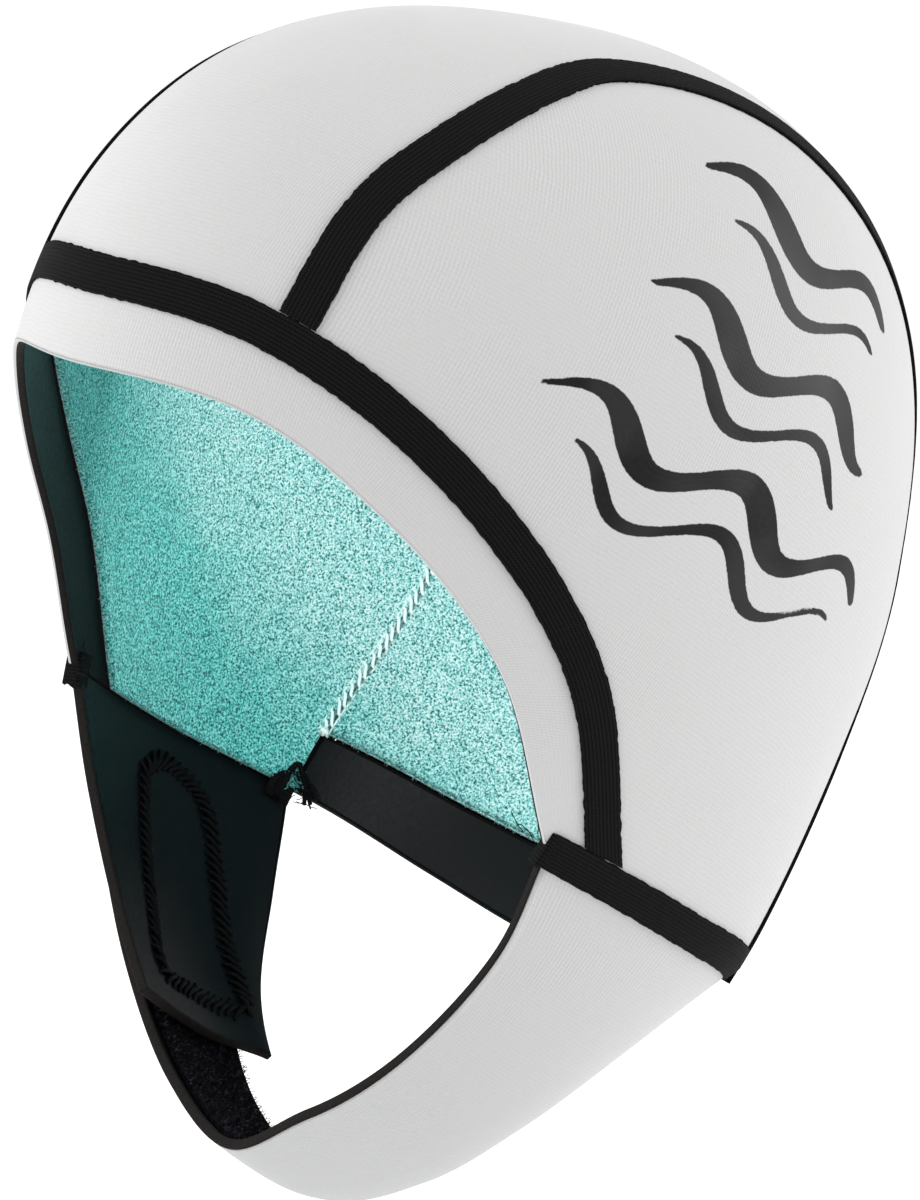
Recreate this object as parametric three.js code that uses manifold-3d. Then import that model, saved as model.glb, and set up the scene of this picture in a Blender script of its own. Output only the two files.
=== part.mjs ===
// Thermal swim cap with a chin strap, cut and sewn from neoprene panels.
// Millimetres, +Z up. The wearer faces -Y, and the wearer's left side is +X.
// The group's origin is the seat inside the top of the crown, where the head carries the cap.
// Inside the group the shapes are worked out from the middle of the head, at its widest level.
import * as THREE from "three";
import Module from "manifold-3d";

const wasm = await Module();
wasm.setup();

// Head form that the cap keeps, measured on the outside of the cloth
const HALF_WIDTH = 83.4;
const FRONT_REACH = 107.5;
const BACK_REACH = 93.7;
const CROWN_HEIGHT = 97.7;
const NECK_DROP = 105;
const CROWN_POWER = 2.43;
const NARROWING = 0.14;
const FULLNESS = -0.03;

// Sections below the widest level, evenly spaced down to the neck, as shares of the sizes above
const SKIRT = [
  { width: 1, front: 1, back: 1 },
  { width: 0.956, front: 0.981, back: 0.925 },
  { width: 0.899, front: 0.903, back: 0.742 },
  { width: 0.786, front: 0.795, back: 0.559 },
];

// Cloth, tapes and fasteners
const SHELL = 2.2;
const PILE = 1.5;
const TAPE_WIDTH = 7.5;
const TAPE_THICKNESS = 0.6;
const PATCH_THICKNESS = 0.8;
const GAP = 0.35;
const SEAM_GAP = 0.6;

// Chin strap. Places along it are shares of its half length, from one neck seam at 0, through the
// middle under the chin at 1, to the far neck seam, and margins are shares of its width.
const FAR_SEAM = 2;
const CHIN_DROP = 146.5;
const STRAP_CROWN = 2.5;
const SHORT_FLAP_END = 0.62;
const LONG_FLAP_END = 0.3;
const LAP_MARGIN = 0.17;
const LAP_START = 0.75;
const LAP_FULL = 1.34;
const HOOK_START = 0.12;
const HOOK_END = 0.54;
const HOOK_START_MARGIN = 0.33;
const HOOK_END_MARGIN = 0.2;
const LOOP_START = 1;
const LOOP_INSET = 0.03;
const LOOP_MARGIN = 0.06;
const SEAM_TURN = 0.08;
const SIDE_TAPE_END = 0.985;
const FACE_TAPE_END = 0.992;

// Seams on the head form in degrees: azimuth from the front towards the left ear, and latitude,
// which is 90 at the crown, 0 at the widest level and -60 at the neck. Rows are evenly spaced.
const NECK_LATITUDE = -60;
const NECK_SEAM = [
  { azimuth: 70.2, latitude: -29.5 },
  { azimuth: 82.7, latitude: -34.5 },
  { azimuth: 95.2, latitude: -39 },
  { azimuth: 107.2, latitude: -42.4 },
  { azimuth: 119, latitude: -45.4 },
];
// The opening edge and the face seam start at the middle of the forehead and end on the neck seam
const OPENING_EDGE = [
  { azimuth: 0, latitude: 13.7 },
  { azimuth: 28.4, latitude: 12.5 },
  { azimuth: 46.7, latitude: 3.6 },
  { azimuth: 61.7, latitude: -11 },
];
const FACE_SEAM = [
  { azimuth: 0, latitude: 23.9 },
  { azimuth: 29.1, latitude: 21.9 },
  { azimuth: 51.8, latitude: 10.7 },
  { azimuth: 70.3, latitude: -9.8 },
];
const FACE_END = 0.16;
// The side seam starts at its share of the face seam and ends at the end of the neck seam
const FACE_JUNCTION = 0.285;
const SIDE_SEAM = [
  { azimuth: 41, latitude: 44.2 },
  { azimuth: 69.5, latitude: 67.2 },
  { azimuth: 113.5, latitude: 60.4 },
  { azimuth: 135, latitude: 20 },
  { azimuth: 133.5, latitude: -14 },
];
const SIDE_CROWN = 0.46;
// The nape seam ends at its share of the side seam, and the nape edge at the neck seam's end
const NAPE_CORNER = 0.96;
const NAPE_SEAM = [
  { azimuth: 180, latitude: -45.6 },
  { azimuth: 153, latitude: -43.6 },
];
const NAPE_EDGE = [
  { azimuth: 180, latitude: -55 },
  { azimuth: 150, latitude: -52 },
];

// Edges of the chin strap from the neck seam to the middle under the chin, evenly spaced, as
// shares of the half width, the front reach and the chin drop. Their first points are the seam's.
const STRAP_FRONT = [
  { across: 0.713, forward: 0.279, drop: 0.517 },
  { across: 0.498, forward: 0.288, drop: 0.69 },
  { across: 0.258, forward: 0.307, drop: 0.813 },
  { across: 0, forward: 0.316, drop: 0.881 },
];
const STRAP_REAR = [
  { across: 0.635, forward: -0.209, drop: 0.677 },
  { across: 0.47, forward: -0.097, drop: 0.812 },
  { across: 0.252, forward: -0.051, drop: 0.932 },
  { across: 0, forward: -0.033, drop: 0.993 },
];

// Cells along and across each panel and flap, and along each tape
const CENTRE_CELLS = [28, 8];
const SIDE_CELLS = [14, 12];
const FACE_CELLS = [44, 3];
const NAPE_CELLS = [14, 2];
const LONG_FLAP_CELLS = [34, 6];
const SHORT_FLAP_CELLS = [12, 6];
const HOOK_CELLS = [8, 5];
const LOOP_CELLS = [18, 5];
const FACE_TAPE_CELLS = 52;
const SIDE_TAPE_CELLS = 40;
const NAPE_TAPE_CELLS = 14;
const NECK_TAPE_CELLS = 12;

// Steps for slopes: as a share of a curve, and as a length on the head form
const NUDGE = 0.005;
const NORMAL_STEP = 0.1;

// Finishes
const JERSEY = { color: 0xdcdcda, roughness: 0.85 };
const PLUSH = { color: 0x63bdb1, roughness: 0.95 };
const WEBBING = { color: 0x1d1c1e, roughness: 0.8 };
const FASTENER = { color: 0x141416, roughness: 0.95 };

// The left and right sides
const SIDES = [
  { name: "left", sign: 1 },
  { name: "right", sign: -1 },
];

// Skirt share at a place from 0 at the widest level to 1 at the neck: a Catmull-Rom cubic through
// the rows, which is level at its upper end
function skirtShare(key, place) {
  const last = SKIRT.length - 1;
  const row = Math.min(Math.floor(place * last), last - 1);
  const t = place * last - row;
  const value = (index) => SKIRT[Math.min(Math.abs(index), last)][key];
  const slopes = [(value(row + 1) - value(row - 1)) / 2, (value(row + 2) - value(row)) / 2];
  return (
    value(row) * (2 * t ** 3 - 3 * t ** 2 + 1) +
    slopes[0] * (t ** 3 - 2 * t ** 2 + t) +
    value(row + 1) * (3 * t ** 2 - 2 * t ** 3) +
    slopes[1] * (t ** 3 - t ** 2)
  );
}

// Half width, front reach and back reach of the head form's section at a height
function sectionAt(height) {
  const place = THREE.MathUtils.clamp(-height / NECK_DROP, 0, 1);
  const rise = THREE.MathUtils.clamp(height / CROWN_HEIGHT, 0, 1);
  const round = (1 - rise ** CROWN_POWER) ** (1 / CROWN_POWER);
  return {
    width: HALF_WIDTH * skirtShare("width", place) * round,
    front: FRONT_REACH * skirtShare("front", place) * round,
    back: BACK_REACH * skirtShare("back", place) * round,
  };
}

// Half width of a section at an angle: an egg that narrows to the front
function eggWidth(section, sin, cos) {
  const third = sin * (3 - 4 * sin ** 2);
  return (section.width * (sin * (1 - NARROWING * cos) + FULLNESS * third)) / (1 - FULLNESS);
}

// Point of the head form at an azimuth and a latitude
function headPoint(azimuth, latitude) {
  const height =
    latitude > 0
      ? CROWN_HEIGHT * Math.sin(THREE.MathUtils.degToRad(latitude))
      : (-NECK_DROP * latitude) / NECK_LATITUDE;
  const section = sectionAt(height);
  const sin = Math.sin(THREE.MathUtils.degToRad(azimuth));
  const cos = Math.cos(THREE.MathUtils.degToRad(azimuth));
  const reach = (section.front + section.back + (section.front - section.back) * cos) / 2;
  return new THREE.Vector3(eggWidth(section, sin, cos), -cos * reach, height);
}

// Whether a point lies inside the head form
function isInside({ x, y, z }) {
  if (z >= CROWN_HEIGHT) {
    return false;
  }
  const section = sectionAt(z);
  const mean = (section.front + section.back) / 2;
  const shift = (section.front - section.back) / 2;
  const root = mean ** 2 - 4 * shift * y;
  const cos = (-2 * y) / (mean + Math.sqrt(Math.max(root, 0)));
  return root > 0 && Math.abs(cos) < 1 && Math.abs(x) < eggWidth(section, Math.sqrt(1 - cos ** 2), cos);
}

// Point where the line from the middle of the head through a point meets the head form
function onHead(point) {
  const direction = point.clone().normalize();
  let inside = 0;
  let outside = 2 * (FRONT_REACH + CROWN_HEIGHT + NECK_DROP);
  while (outside - inside > 1e-7) {
    const middle = (inside + outside) / 2;
    if (isInside(direction.clone().multiplyScalar(middle))) {
      inside = middle;
    } else {
      outside = middle;
    }
  }
  return direction.multiplyScalar(inside);
}

// Outward normal of the head form beside a point, from two steps along it
function headNormal(point) {
  const base = onHead(point);
  const axis = new THREE.Vector3(...(Math.abs(base.z) > Math.abs(base.x) ? [1, 0, 0] : [0, 0, 1]));
  const across = axis.cross(base).setLength(NORMAL_STEP);
  const along = base.clone().cross(across).setLength(NORMAL_STEP);
  const slope = (step) => onHead(base.clone().add(step)).sub(onHead(base.clone().sub(step)));
  return slope(across).cross(slope(along)).normalize();
}

// Smooth curve through points, evenly spaced from 0 to 1
function smoothCurve(points) {
  const curve = new THREE.CatmullRomCurve3(points, false, "catmullrom");
  return (share) => curve.getPoint(share);
}

function mirror({ x, y, z }) {
  return new THREE.Vector3(-x, y, z);
}

// Azimuth and latitude along a seam, as x and y, from its first row to its last
function seamPlaces(rows) {
  return smoothCurve(rows.map(({ azimuth, latitude }) => new THREE.Vector3(azimuth, latitude, 0)));
}

// The row at a share of a seam's places
function rowAt(places, share) {
  const { x, y } = places(share);
  return { azimuth: x, latitude: y };
}

// Rows from the right side over the middle to the left side, from rows that start at the middle
function bothSides(rows) {
  const [middle, ...left] = rows;
  const right = left.map(({ azimuth, latitude }) => ({ azimuth: 2 * middle.azimuth - azimuth, latitude }));
  return [...right.reverse(), ...rows];
}

// Points of the head form along a seam's places
function onSeam(places) {
  return (share) => {
    const { x, y } = places(share);
    return headPoint(x, y);
  };
}

// The stretch of a curve between two of its shares
function stretch(curve, from, to) {
  return (share) => curve(from + (to - from) * share);
}

// The curve on the other side, from right to left of the wearer
function mirrored(curve) {
  return (share) => mirror(curve(share));
}

// Surface between four curves that meet at their ends: near and far run with u, and start and
// finish run with v
function between(near, far, start, finish) {
  return (u, v) =>
    near(u)
      .multiplyScalar(1 - v)
      .addScaledVector(far(u), v)
      .addScaledVector(start(v), 1 - u)
      .addScaledVector(finish(v), u)
      .addScaledVector(near(0), -(1 - u) * (1 - v))
      .addScaledVector(near(1), -u * (1 - v))
      .addScaledVector(far(0), -(1 - u) * v)
      .addScaledVector(far(1), -u * v);
}

// Rows of points over a surface of u and v
function grid(surface, uCells, vCells) {
  return Array.from({ length: uCells + 1 }, (_, i) =>
    Array.from({ length: vCells + 1 }, (_unused, j) => surface(i / uCells, j / vCells)),
  );
}

// The same grid with its outline drawn in by half a seam gap, along its own lines
function drawnIn(points) {
  const lastRow = points.length - 1;
  const lastColumn = points[0].length - 1;
  const shift = (from, to, side) => {
    const inward = to.clone().sub(from).normalize();
    const slant = Math.abs(inward.dot(side.clone().normalize()));
    return inward.multiplyScalar(SEAM_GAP / 2 / Math.sqrt(Math.max(1 - slant ** 2, 0.1)));
  };
  return points.map((row, i) =>
    row.map((point, j) => {
      const moved = point.clone();
      const alongRow = points[i][Math.min(j + 1, lastColumn)].clone().sub(points[i][Math.max(j - 1, 0)]);
      const alongColumn = points[Math.min(i + 1, lastRow)][j].clone().sub(points[Math.max(i - 1, 0)][j]);
      if (i === 0 || i === lastRow) {
        moved.add(shift(point, points[i === 0 ? 1 : lastRow - 1][j], alongRow));
      }
      if (j === 0 || j === lastColumn) {
        moved.add(shift(point, points[i][j === 0 ? 1 : lastColumn - 1], alongColumn));
      }
      return moved;
    }),
  );
}

// Closed shell between two depths below a grid of points, along the normals given for them
function shell(points, normals, outer, inner) {
  const rows = points.length;
  const columns = points[0].length;
  const layer = (depth) =>
    points.flatMap((row, i) => row.map((point, j) => point.clone().addScaledVector(normals[i][j], -depth)));
  const geometry = new THREE.BufferGeometry().setFromPoints([...layer(outer), ...layer(inner)]);
  const top = (i, j) => i * columns + j;
  const under = (i, j) => rows * columns + top(i, j);
  const faces = [];
  const quad = (a, b, c, d) => faces.push(a, b, c, a, c, d);
  for (let i = 0; i < rows - 1; i += 1) {
    for (let j = 0; j < columns - 1; j += 1) {
      quad(top(i, j), top(i + 1, j), top(i + 1, j + 1), top(i, j + 1));
      quad(under(i, j), under(i, j + 1), under(i + 1, j + 1), under(i + 1, j));
    }
    quad(top(i, 0), under(i, 0), under(i + 1, 0), top(i + 1, 0));
    quad(top(i, columns - 1), top(i + 1, columns - 1), under(i + 1, columns - 1), under(i, columns - 1));
  }
  for (let j = 0; j < columns - 1; j += 1) {
    quad(top(0, j), top(0, j + 1), under(0, j + 1), under(0, j));
    quad(top(rows - 1, j), under(rows - 1, j), under(rows - 1, j + 1), top(rows - 1, j + 1));
  }
  geometry.setIndex(faces);
  return outward(geometry);
}

// The geometry with its faces turned out, if its signed volume says that they point in
function outward(geometry) {
  const position = geometry.getAttribute("position");
  const index = Array.from(geometry.getIndex().array);
  const corner = (k) => new THREE.Vector3().fromBufferAttribute(position, index[k]);
  let volume = 0;
  for (let k = 0; k < index.length; k += 3) {
    volume += corner(k).dot(corner(k + 1).cross(corner(k + 2)));
  }
  if (volume < 0) {
    index.reverse();
  }
  geometry.setIndex(index);
  return geometry;
}

function toManifold(geometry) {
  return new wasm.Manifold(
    new wasm.Mesh({
      numProp: 3,
      vertProperties: new Float32Array(geometry.getAttribute("position").array),
      triVerts: new Uint32Array(geometry.getIndex().array),
    }),
  );
}

// One geometry with others cut away from it
function cutAway(geometry, cutters) {
  const solid = cutters.reduce((rest, cutter) => rest.subtract(toManifold(cutter)), toManifold(geometry));
  const { vertProperties, triVerts } = solid.getMesh();
  const cut = new THREE.BufferGeometry();
  cut.setAttribute("position", new THREE.BufferAttribute(vertProperties, 3));
  cut.setIndex(new THREE.BufferAttribute(triVerts, 1));
  return cut;
}

// A tape's rows of points across a seam of the head form, with its normals
function tapeOver(seam, cells, width) {
  const points = [];
  const normals = [];
  for (let i = 0; i <= cells; i += 1) {
    const share = i / cells;
    const ahead = seam(Math.min(share + NUDGE, 1)).sub(seam(Math.max(share - NUDGE, 0)));
    const side = headNormal(seam(share)).cross(ahead).setLength(width / 2);
    const row = [-1, 0, 1].map((place) => onHead(seam(share).addScaledVector(side, place)));
    points.push(row);
    normals.push(row.map(headNormal));
  }
  return { points, normals };
}

// Seams of the cap, as points that run with a share from 0 to 1
const neckPlaces = seamPlaces(NECK_SEAM);
const facePlaces = seamPlaces(bothSides([...FACE_SEAM, rowAt(neckPlaces, FACE_END)]));
const openingPlaces = seamPlaces(bothSides([...OPENING_EDGE, rowAt(neckPlaces, 0)]));
const sidePlaces = seamPlaces([
  rowAt(facePlaces, (1 + FACE_JUNCTION) / 2),
  ...SIDE_SEAM,
  rowAt(neckPlaces, 1),
]);
const napePlaces = seamPlaces(bothSides([...NAPE_SEAM, rowAt(sidePlaces, NAPE_CORNER)]));
const napeEdgePlaces = seamPlaces(bothSides([...NAPE_EDGE, rowAt(neckPlaces, 1)]));
const [neckSeam, faceSeam, openingEdge, sideSeam, napeSeam, napeEdge] = [
  neckPlaces,
  facePlaces,
  openingPlaces,
  sidePlaces,
  napePlaces,
  napeEdgePlaces,
].map(onSeam);

const cap = new THREE.Group();
cap.name = "thermal_swim_cap";
cap.position.z = -(CROWN_HEIGHT - SHELL - GAP - PILE);

function addPiece(name, geometry, finish) {
  const material = new THREE.MeshStandardMaterial({ metalness: 0, ...finish });
  const mesh = new THREE.Mesh(geometry, material);
  mesh.name = name;
  cap.add(mesh);
}

// A piece of the head form between four curves, as points and their normals
function headPiece(surface, [uCells, vCells]) {
  const points = drawnIn(grid((u, v) => onHead(surface(u, v)), uCells, vCells));
  return { points, normals: points.map((row) => row.map(headNormal)) };
}

// Solids over a grid of points: the shell of a panel, its plush lining, a tape, and the room that
// a tape needs from another
function panel({ points, normals }) {
  return shell(points, normals, 0, SHELL);
}

function lining({ points, normals }) {
  return shell(points, normals, SHELL + GAP, SHELL + GAP + PILE);
}

function tape({ points, normals }) {
  return shell(points, normals, -GAP - TAPE_THICKNESS, -GAP);
}

function tapeRoom({ points, normals }) {
  return shell(points, normals, -2 * GAP - TAPE_THICKNESS, 0);
}

// The grid of a piece on the other side
function otherSide({ points, normals }) {
  return {
    points: points.map((row) => row.map(mirror)),
    normals: normals.map((row) => row.map(mirror)),
  };
}

function onSide(sign, piece) {
  return sign > 0 ? piece : otherSide(piece);
}

// Centre panel, over the crown from the face seam to the nape seam, and its lining
const centrePanel = headPiece(
  between(
    mirrored(stretch(sideSeam, 0, NAPE_CORNER)),
    stretch(sideSeam, 0, NAPE_CORNER),
    stretch(faceSeam, (1 - FACE_JUNCTION) / 2, (1 + FACE_JUNCTION) / 2),
    napeSeam,
  ),
  CENTRE_CELLS,
);
addPiece("centre_panel", panel(centrePanel), JERSEY);
addPiece("centre_lining", lining(centrePanel), PLUSH);

// Side panels, inside the side seam, and their linings
const sidePanel = headPiece(
  between(
    stretch(faceSeam, (1 + FACE_JUNCTION) / 2, 1),
    stretch(sideSeam, SIDE_CROWN, 1),
    stretch(sideSeam, 0, SIDE_CROWN),
    stretch(neckSeam, FACE_END, 1),
  ),
  SIDE_CELLS,
);
for (const { name, sign } of SIDES) {
  addPiece(`side_panel_${name}`, panel(onSide(sign, sidePanel)), JERSEY);
  addPiece(`side_lining_${name}`, lining(onSide(sign, sidePanel)), PLUSH);
}

// Face band, from cheek to cheek between the opening edge and the face seam
const faceBand = headPiece(
  between(openingEdge, faceSeam, mirrored(stretch(neckSeam, 0, FACE_END)), stretch(neckSeam, 0, FACE_END)),
  FACE_CELLS,
);
addPiece("face_band", panel(faceBand), JERSEY);

// Nape band, under the centre panel between the neck seams' ends
const napeBand = headPiece(
  between(
    napeEdge,
    napeSeam,
    mirrored(stretch(sideSeam, 1, NAPE_CORNER)),
    stretch(sideSeam, 1, NAPE_CORNER),
  ),
  NAPE_CELLS,
);
addPiece("nape_band", panel(napeBand), JERSEY);

// Chin strap: one surface from the left neck seam under the chin to the right neck seam, with u
// along it and v from its front edge to its rear edge
function strapEdge(seamEnd, rows) {
  const left = rows.map(
    ({ across, forward, drop }) =>
      new THREE.Vector3(HALF_WIDTH * across, -FRONT_REACH * forward, -CHIN_DROP * drop),
  );
  const half = [seamEnd, ...left];
  return smoothCurve([...half, ...half.slice(0, -1).reverse().map(mirror)]);
}

const flatStrap = between(
  strapEdge(neckSeam(0), STRAP_FRONT),
  strapEdge(neckSeam(1), STRAP_REAR),
  neckSeam,
  mirrored(neckSeam),
);

// Outward normal of the strap, which turns into the head form's at the neck seam
function strapNormal(u, v) {
  const slope = (u0, v0, u1, v1) => flatStrap(u1, v1).sub(flatStrap(u0, v0));
  const along = slope(Math.max(u - NUDGE, 0), v, Math.min(u + NUDGE, 1), v);
  const across = slope(u, Math.max(v - NUDGE, 0), u, Math.min(v + NUDGE, 1));
  const normal = along.cross(across).normalize();
  const turned = THREE.MathUtils.smoothstep(u, 0, SEAM_TURN);
  return headNormal(neckSeam(v)).lerp(normal, turned).normalize();
}

// Rise of the long flap that leaves room for the short flap and both patches
const LAP_RISE = SHELL + 2 * PATCH_THICKNESS + 3 * GAP;

// Point of the strap, which is crowned across its width
function strapPoint(u, v) {
  const crown = STRAP_CROWN * Math.sin(Math.PI * u) * Math.sin(Math.PI * v);
  return flatStrap(u, v).addScaledVector(strapNormal(u, v), crown);
}

// A piece of the strap between two places, as points and their normals, with margins beside its
// start and end. Where it laps over the other flap it is raised and narrowed by shares of lap.
function strapPiece({ from, to, margins, lap }, [uCells, vCells]) {
  const points = [];
  const normals = [];
  for (let i = 0; i <= uCells; i += 1) {
    const place = from + ((to - from) * i) / uCells;
    const lapped = lap * THREE.MathUtils.smoothstep(place, LAP_START, LAP_FULL);
    const margin = THREE.MathUtils.lerp(...margins, i / uCells);
    const inset = margin + LAP_MARGIN * (1 - 2 * margin) * lapped;
    const across = (j) => inset + ((1 - 2 * inset) * j) / vCells;
    const columns = Array.from({ length: vCells + 1 }, (_, j) => across(j));
    const u = place / FAR_SEAM;
    const rowNormals = columns.map((v) => strapNormal(u, v));
    points.push(
      columns.map((v, j) => strapPoint(u, v).addScaledVector(rowNormals[j], LAP_RISE * lapped)),
    );
    normals.push(rowNormals);
  }
  return { points: drawnIn(points), normals };
}

// Long chin flap on the left, which passes under the chin and laps over the short one
const longFlap = strapPiece(
  { from: 0, to: FAR_SEAM - LONG_FLAP_END, margins: [0, 0], lap: 1 },
  LONG_FLAP_CELLS,
);
addPiece("chin_flap_left", panel(longFlap), JERSEY);

// Short chin flap on the right
const shortFlap = otherSide(
  strapPiece({ from: 0, to: SHORT_FLAP_END, margins: [0, 0], lap: 0 }, SHORT_FLAP_CELLS),
);
addPiece("chin_flap_right", panel(shortFlap), JERSEY);

// Hook patch on the outside of the short flap, and loop patch on the inside of the long one's end
const hookPatch = otherSide(
  strapPiece(
    { from: HOOK_START, to: HOOK_END, margins: [HOOK_START_MARGIN, HOOK_END_MARGIN], lap: 0 },
    HOOK_CELLS,
  ),
);
addPiece(
  "hook_patch",
  shell(hookPatch.points, hookPatch.normals, -GAP - PATCH_THICKNESS, -GAP),
  FASTENER,
);
const loopPatch = strapPiece(
  {
    from: LOOP_START,
    to: FAR_SEAM - LONG_FLAP_END - LOOP_INSET,
    margins: [LOOP_MARGIN, LOOP_MARGIN],
    lap: 1,
  },
  LOOP_CELLS,
);
addPiece(
  "loop_patch",
  shell(loopPatch.points, loopPatch.normals, SHELL + GAP, SHELL + GAP + PATCH_THICKNESS),
  FASTENER,
);

// Tape over a neck seam: its upper edge lies on the head form and its lower edge on the flap
function neckTapeRows(width) {
  const points = [];
  const normals = [];
  for (let i = 0; i <= NECK_TAPE_CELLS; i += 1) {
    const v = i / NECK_TAPE_CELLS;
    const ahead = neckSeam(Math.min(v + NUDGE, 1)).sub(neckSeam(Math.max(v - NUDGE, 0)));
    const up = headNormal(neckSeam(v)).cross(ahead).setLength(width / 2);
    const speed = strapPoint(NUDGE, v).distanceTo(neckSeam(v)) / NUDGE;
    const u = width / 2 / speed;
    const upper = onHead(neckSeam(v).add(up));
    points.push([upper, neckSeam(v), strapPoint(u, v)]);
    normals.push([headNormal(upper), headNormal(neckSeam(v)), strapNormal(u, v)]);
  }
  return { points, normals };
}

const neckTape = neckTapeRows(TAPE_WIDTH);
const neckRoom = neckTapeRows(TAPE_WIDTH + 2 * GAP);
const faceTape = tapeOver(stretch(faceSeam, 1 - FACE_TAPE_END, FACE_TAPE_END), FACE_TAPE_CELLS, TAPE_WIDTH);
const faceRoom = tapeOver(faceSeam, FACE_TAPE_CELLS, TAPE_WIDTH + 2 * GAP);
const sideTape = tapeOver(stretch(sideSeam, 0, SIDE_TAPE_END), SIDE_TAPE_CELLS, TAPE_WIDTH);
const sideRoom = tapeOver(stretch(sideSeam, 0, SIDE_TAPE_END), SIDE_TAPE_CELLS, TAPE_WIDTH + 2 * GAP);
const napeTape = tapeOver(napeSeam, NAPE_TAPE_CELLS, TAPE_WIDTH);

addPiece(
  "face_tape",
  cutAway(tape(faceTape), [tapeRoom(neckRoom), tapeRoom(otherSide(neckRoom))]),
  WEBBING,
);
addPiece(
  "nape_tape",
  cutAway(tape(napeTape), [tapeRoom(sideRoom), tapeRoom(otherSide(sideRoom))]),
  WEBBING,
);
for (const { name, sign } of SIDES) {
  addPiece(`neck_tape_${name}`, tape(onSide(sign, neckTape)), WEBBING);
  addPiece(
    `side_tape_${name}`,
    cutAway(tape(onSide(sign, sideTape)), [tapeRoom(faceRoom), tapeRoom(onSide(sign, neckRoom))]),
    WEBBING,
  );
}

export default cap;
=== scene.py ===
from itertools import product

import bpy
import numpy as np
from mathutils import Matrix, Vector


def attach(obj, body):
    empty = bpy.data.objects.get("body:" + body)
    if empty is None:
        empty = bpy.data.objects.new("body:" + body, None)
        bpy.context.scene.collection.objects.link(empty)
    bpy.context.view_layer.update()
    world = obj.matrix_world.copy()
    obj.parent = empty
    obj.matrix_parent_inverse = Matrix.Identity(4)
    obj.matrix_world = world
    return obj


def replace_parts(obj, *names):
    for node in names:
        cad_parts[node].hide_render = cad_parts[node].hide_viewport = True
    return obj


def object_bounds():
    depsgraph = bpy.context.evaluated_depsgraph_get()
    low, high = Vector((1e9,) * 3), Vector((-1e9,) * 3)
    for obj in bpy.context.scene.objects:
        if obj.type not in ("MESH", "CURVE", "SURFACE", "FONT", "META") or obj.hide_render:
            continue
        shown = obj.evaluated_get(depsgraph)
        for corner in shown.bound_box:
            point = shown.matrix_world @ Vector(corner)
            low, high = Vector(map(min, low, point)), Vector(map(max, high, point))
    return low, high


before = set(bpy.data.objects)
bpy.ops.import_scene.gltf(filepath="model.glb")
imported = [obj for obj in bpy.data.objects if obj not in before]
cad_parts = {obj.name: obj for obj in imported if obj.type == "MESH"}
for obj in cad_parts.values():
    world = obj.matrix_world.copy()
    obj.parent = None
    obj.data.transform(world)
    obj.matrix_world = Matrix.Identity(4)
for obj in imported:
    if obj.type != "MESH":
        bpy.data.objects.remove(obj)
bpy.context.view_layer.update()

# Centre panel: the strip over the crown, die cut from 2.2 mm neoprene with pale ribbed jersey
# outside. It butts against the side panels and both bands, and tapes are glued over the seams.
HALF_WIDTH, FRONT_REACH, BACK_REACH = 0.0834, 0.1075, 0.0937
CROWN_HEIGHT, NECK_DROP = 0.0977, 0.105
CROWN_POWER, NARROWING, FULLNESS = 2.43, 0.14, -0.03
SKIRT = np.array([[1, 1, 1], [0.956, 0.981, 0.925], [0.899, 0.903, 0.742], [0.786, 0.795, 0.559]])
SHELL, GAP, PILE, SEAM_GAP = 0.0022, 0.00035, 0.0015, 0.0006
HEAD_CENTRE = np.array([0, 0, SHELL + GAP + PILE - CROWN_HEIGHT])
FARTHEST = 0.2
HALVINGS = 34
NORMAL_STEP = 0.0001
SLACK = 0.0016

NECK_LATITUDE = -60
NECK_SEAM = np.array([[70.2, -29.5], [82.7, -34.5], [95.2, -39], [107.2, -42.4], [119, -45.4]])
FACE_SEAM = [[0, 23.9], [29.1, 21.9], [51.8, 10.7], [70.3, -9.8]]
FACE_END, FACE_JUNCTION = 0.16, 0.285
SIDE_SEAM = [[41, 44.2], [69.5, 67.2], [113.5, 60.4], [135, 20], [133.5, -14]]
NAPE_CORNER = 0.96
NAPE_SEAM = [[180, -45.6], [153, -43.6]]
CUT_ROUNDING = 0.0004
CUT_RINGS = 3
CELL_SHARE = 0.6
CENTRE_CELLS = (160, 64)


def run_through(rows, share, beyond=None):
    """Points of a Catmull-Rom curve at shares of its length from 0 to 1: between two rows it is the
    cubic whose slopes there are half the step between their neighbours. Rows beyond both ends are
    given, or else mirror the row next to the end."""
    rows = np.asarray(rows, float)
    before, after = beyond or (2 * rows[0] - rows[1], 2 * rows[-1] - rows[-2])
    knots = np.vstack([before, rows, after])
    at = np.clip(share, 0, 1) * (len(rows) - 1)
    first = np.minimum(at.astype(int), len(rows) - 2)
    t = (at - first)[..., None]
    a, b, c, d = (knots[first + k] for k in range(4))
    return b + t * (c - a) / 2 + t**2 * (a - 2.5 * b + 2 * c - d / 2) + t**3 * (1.5 * (b - c) + (d - a) / 2)


def unit(vectors):
    """Each vector divided by its length."""
    return vectors / np.maximum(np.linalg.norm(vectors, axis=-1, keepdims=True), 1e-12)


def head_section(height):
    """Half width, front reach and back reach of the head form at a height: a superellipse arc above
    the widest level, and the skirt's rows below it."""
    below = np.clip(-height / NECK_DROP, 0, 1)
    above = np.clip(height / CROWN_HEIGHT, 0, 1)
    rounded = (1 - above**CROWN_POWER) ** (1 / CROWN_POWER)
    sizes = np.array([HALF_WIDTH, FRONT_REACH, BACK_REACH])
    return np.moveaxis(sizes * run_through(SKIRT, below, (SKIRT[1], SKIRT[-1])) * rounded[..., None], -1, 0)


def egg_width(width, sine, cosine):
    """Half width of an egg at an angle: the sine, less towards the front, with a share of its third
    harmonic."""
    third = sine * (3 - 4 * sine**2)
    return width * (sine * (1 - NARROWING * cosine) + FULLNESS * third) / (1 - FULLNESS)


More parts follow.
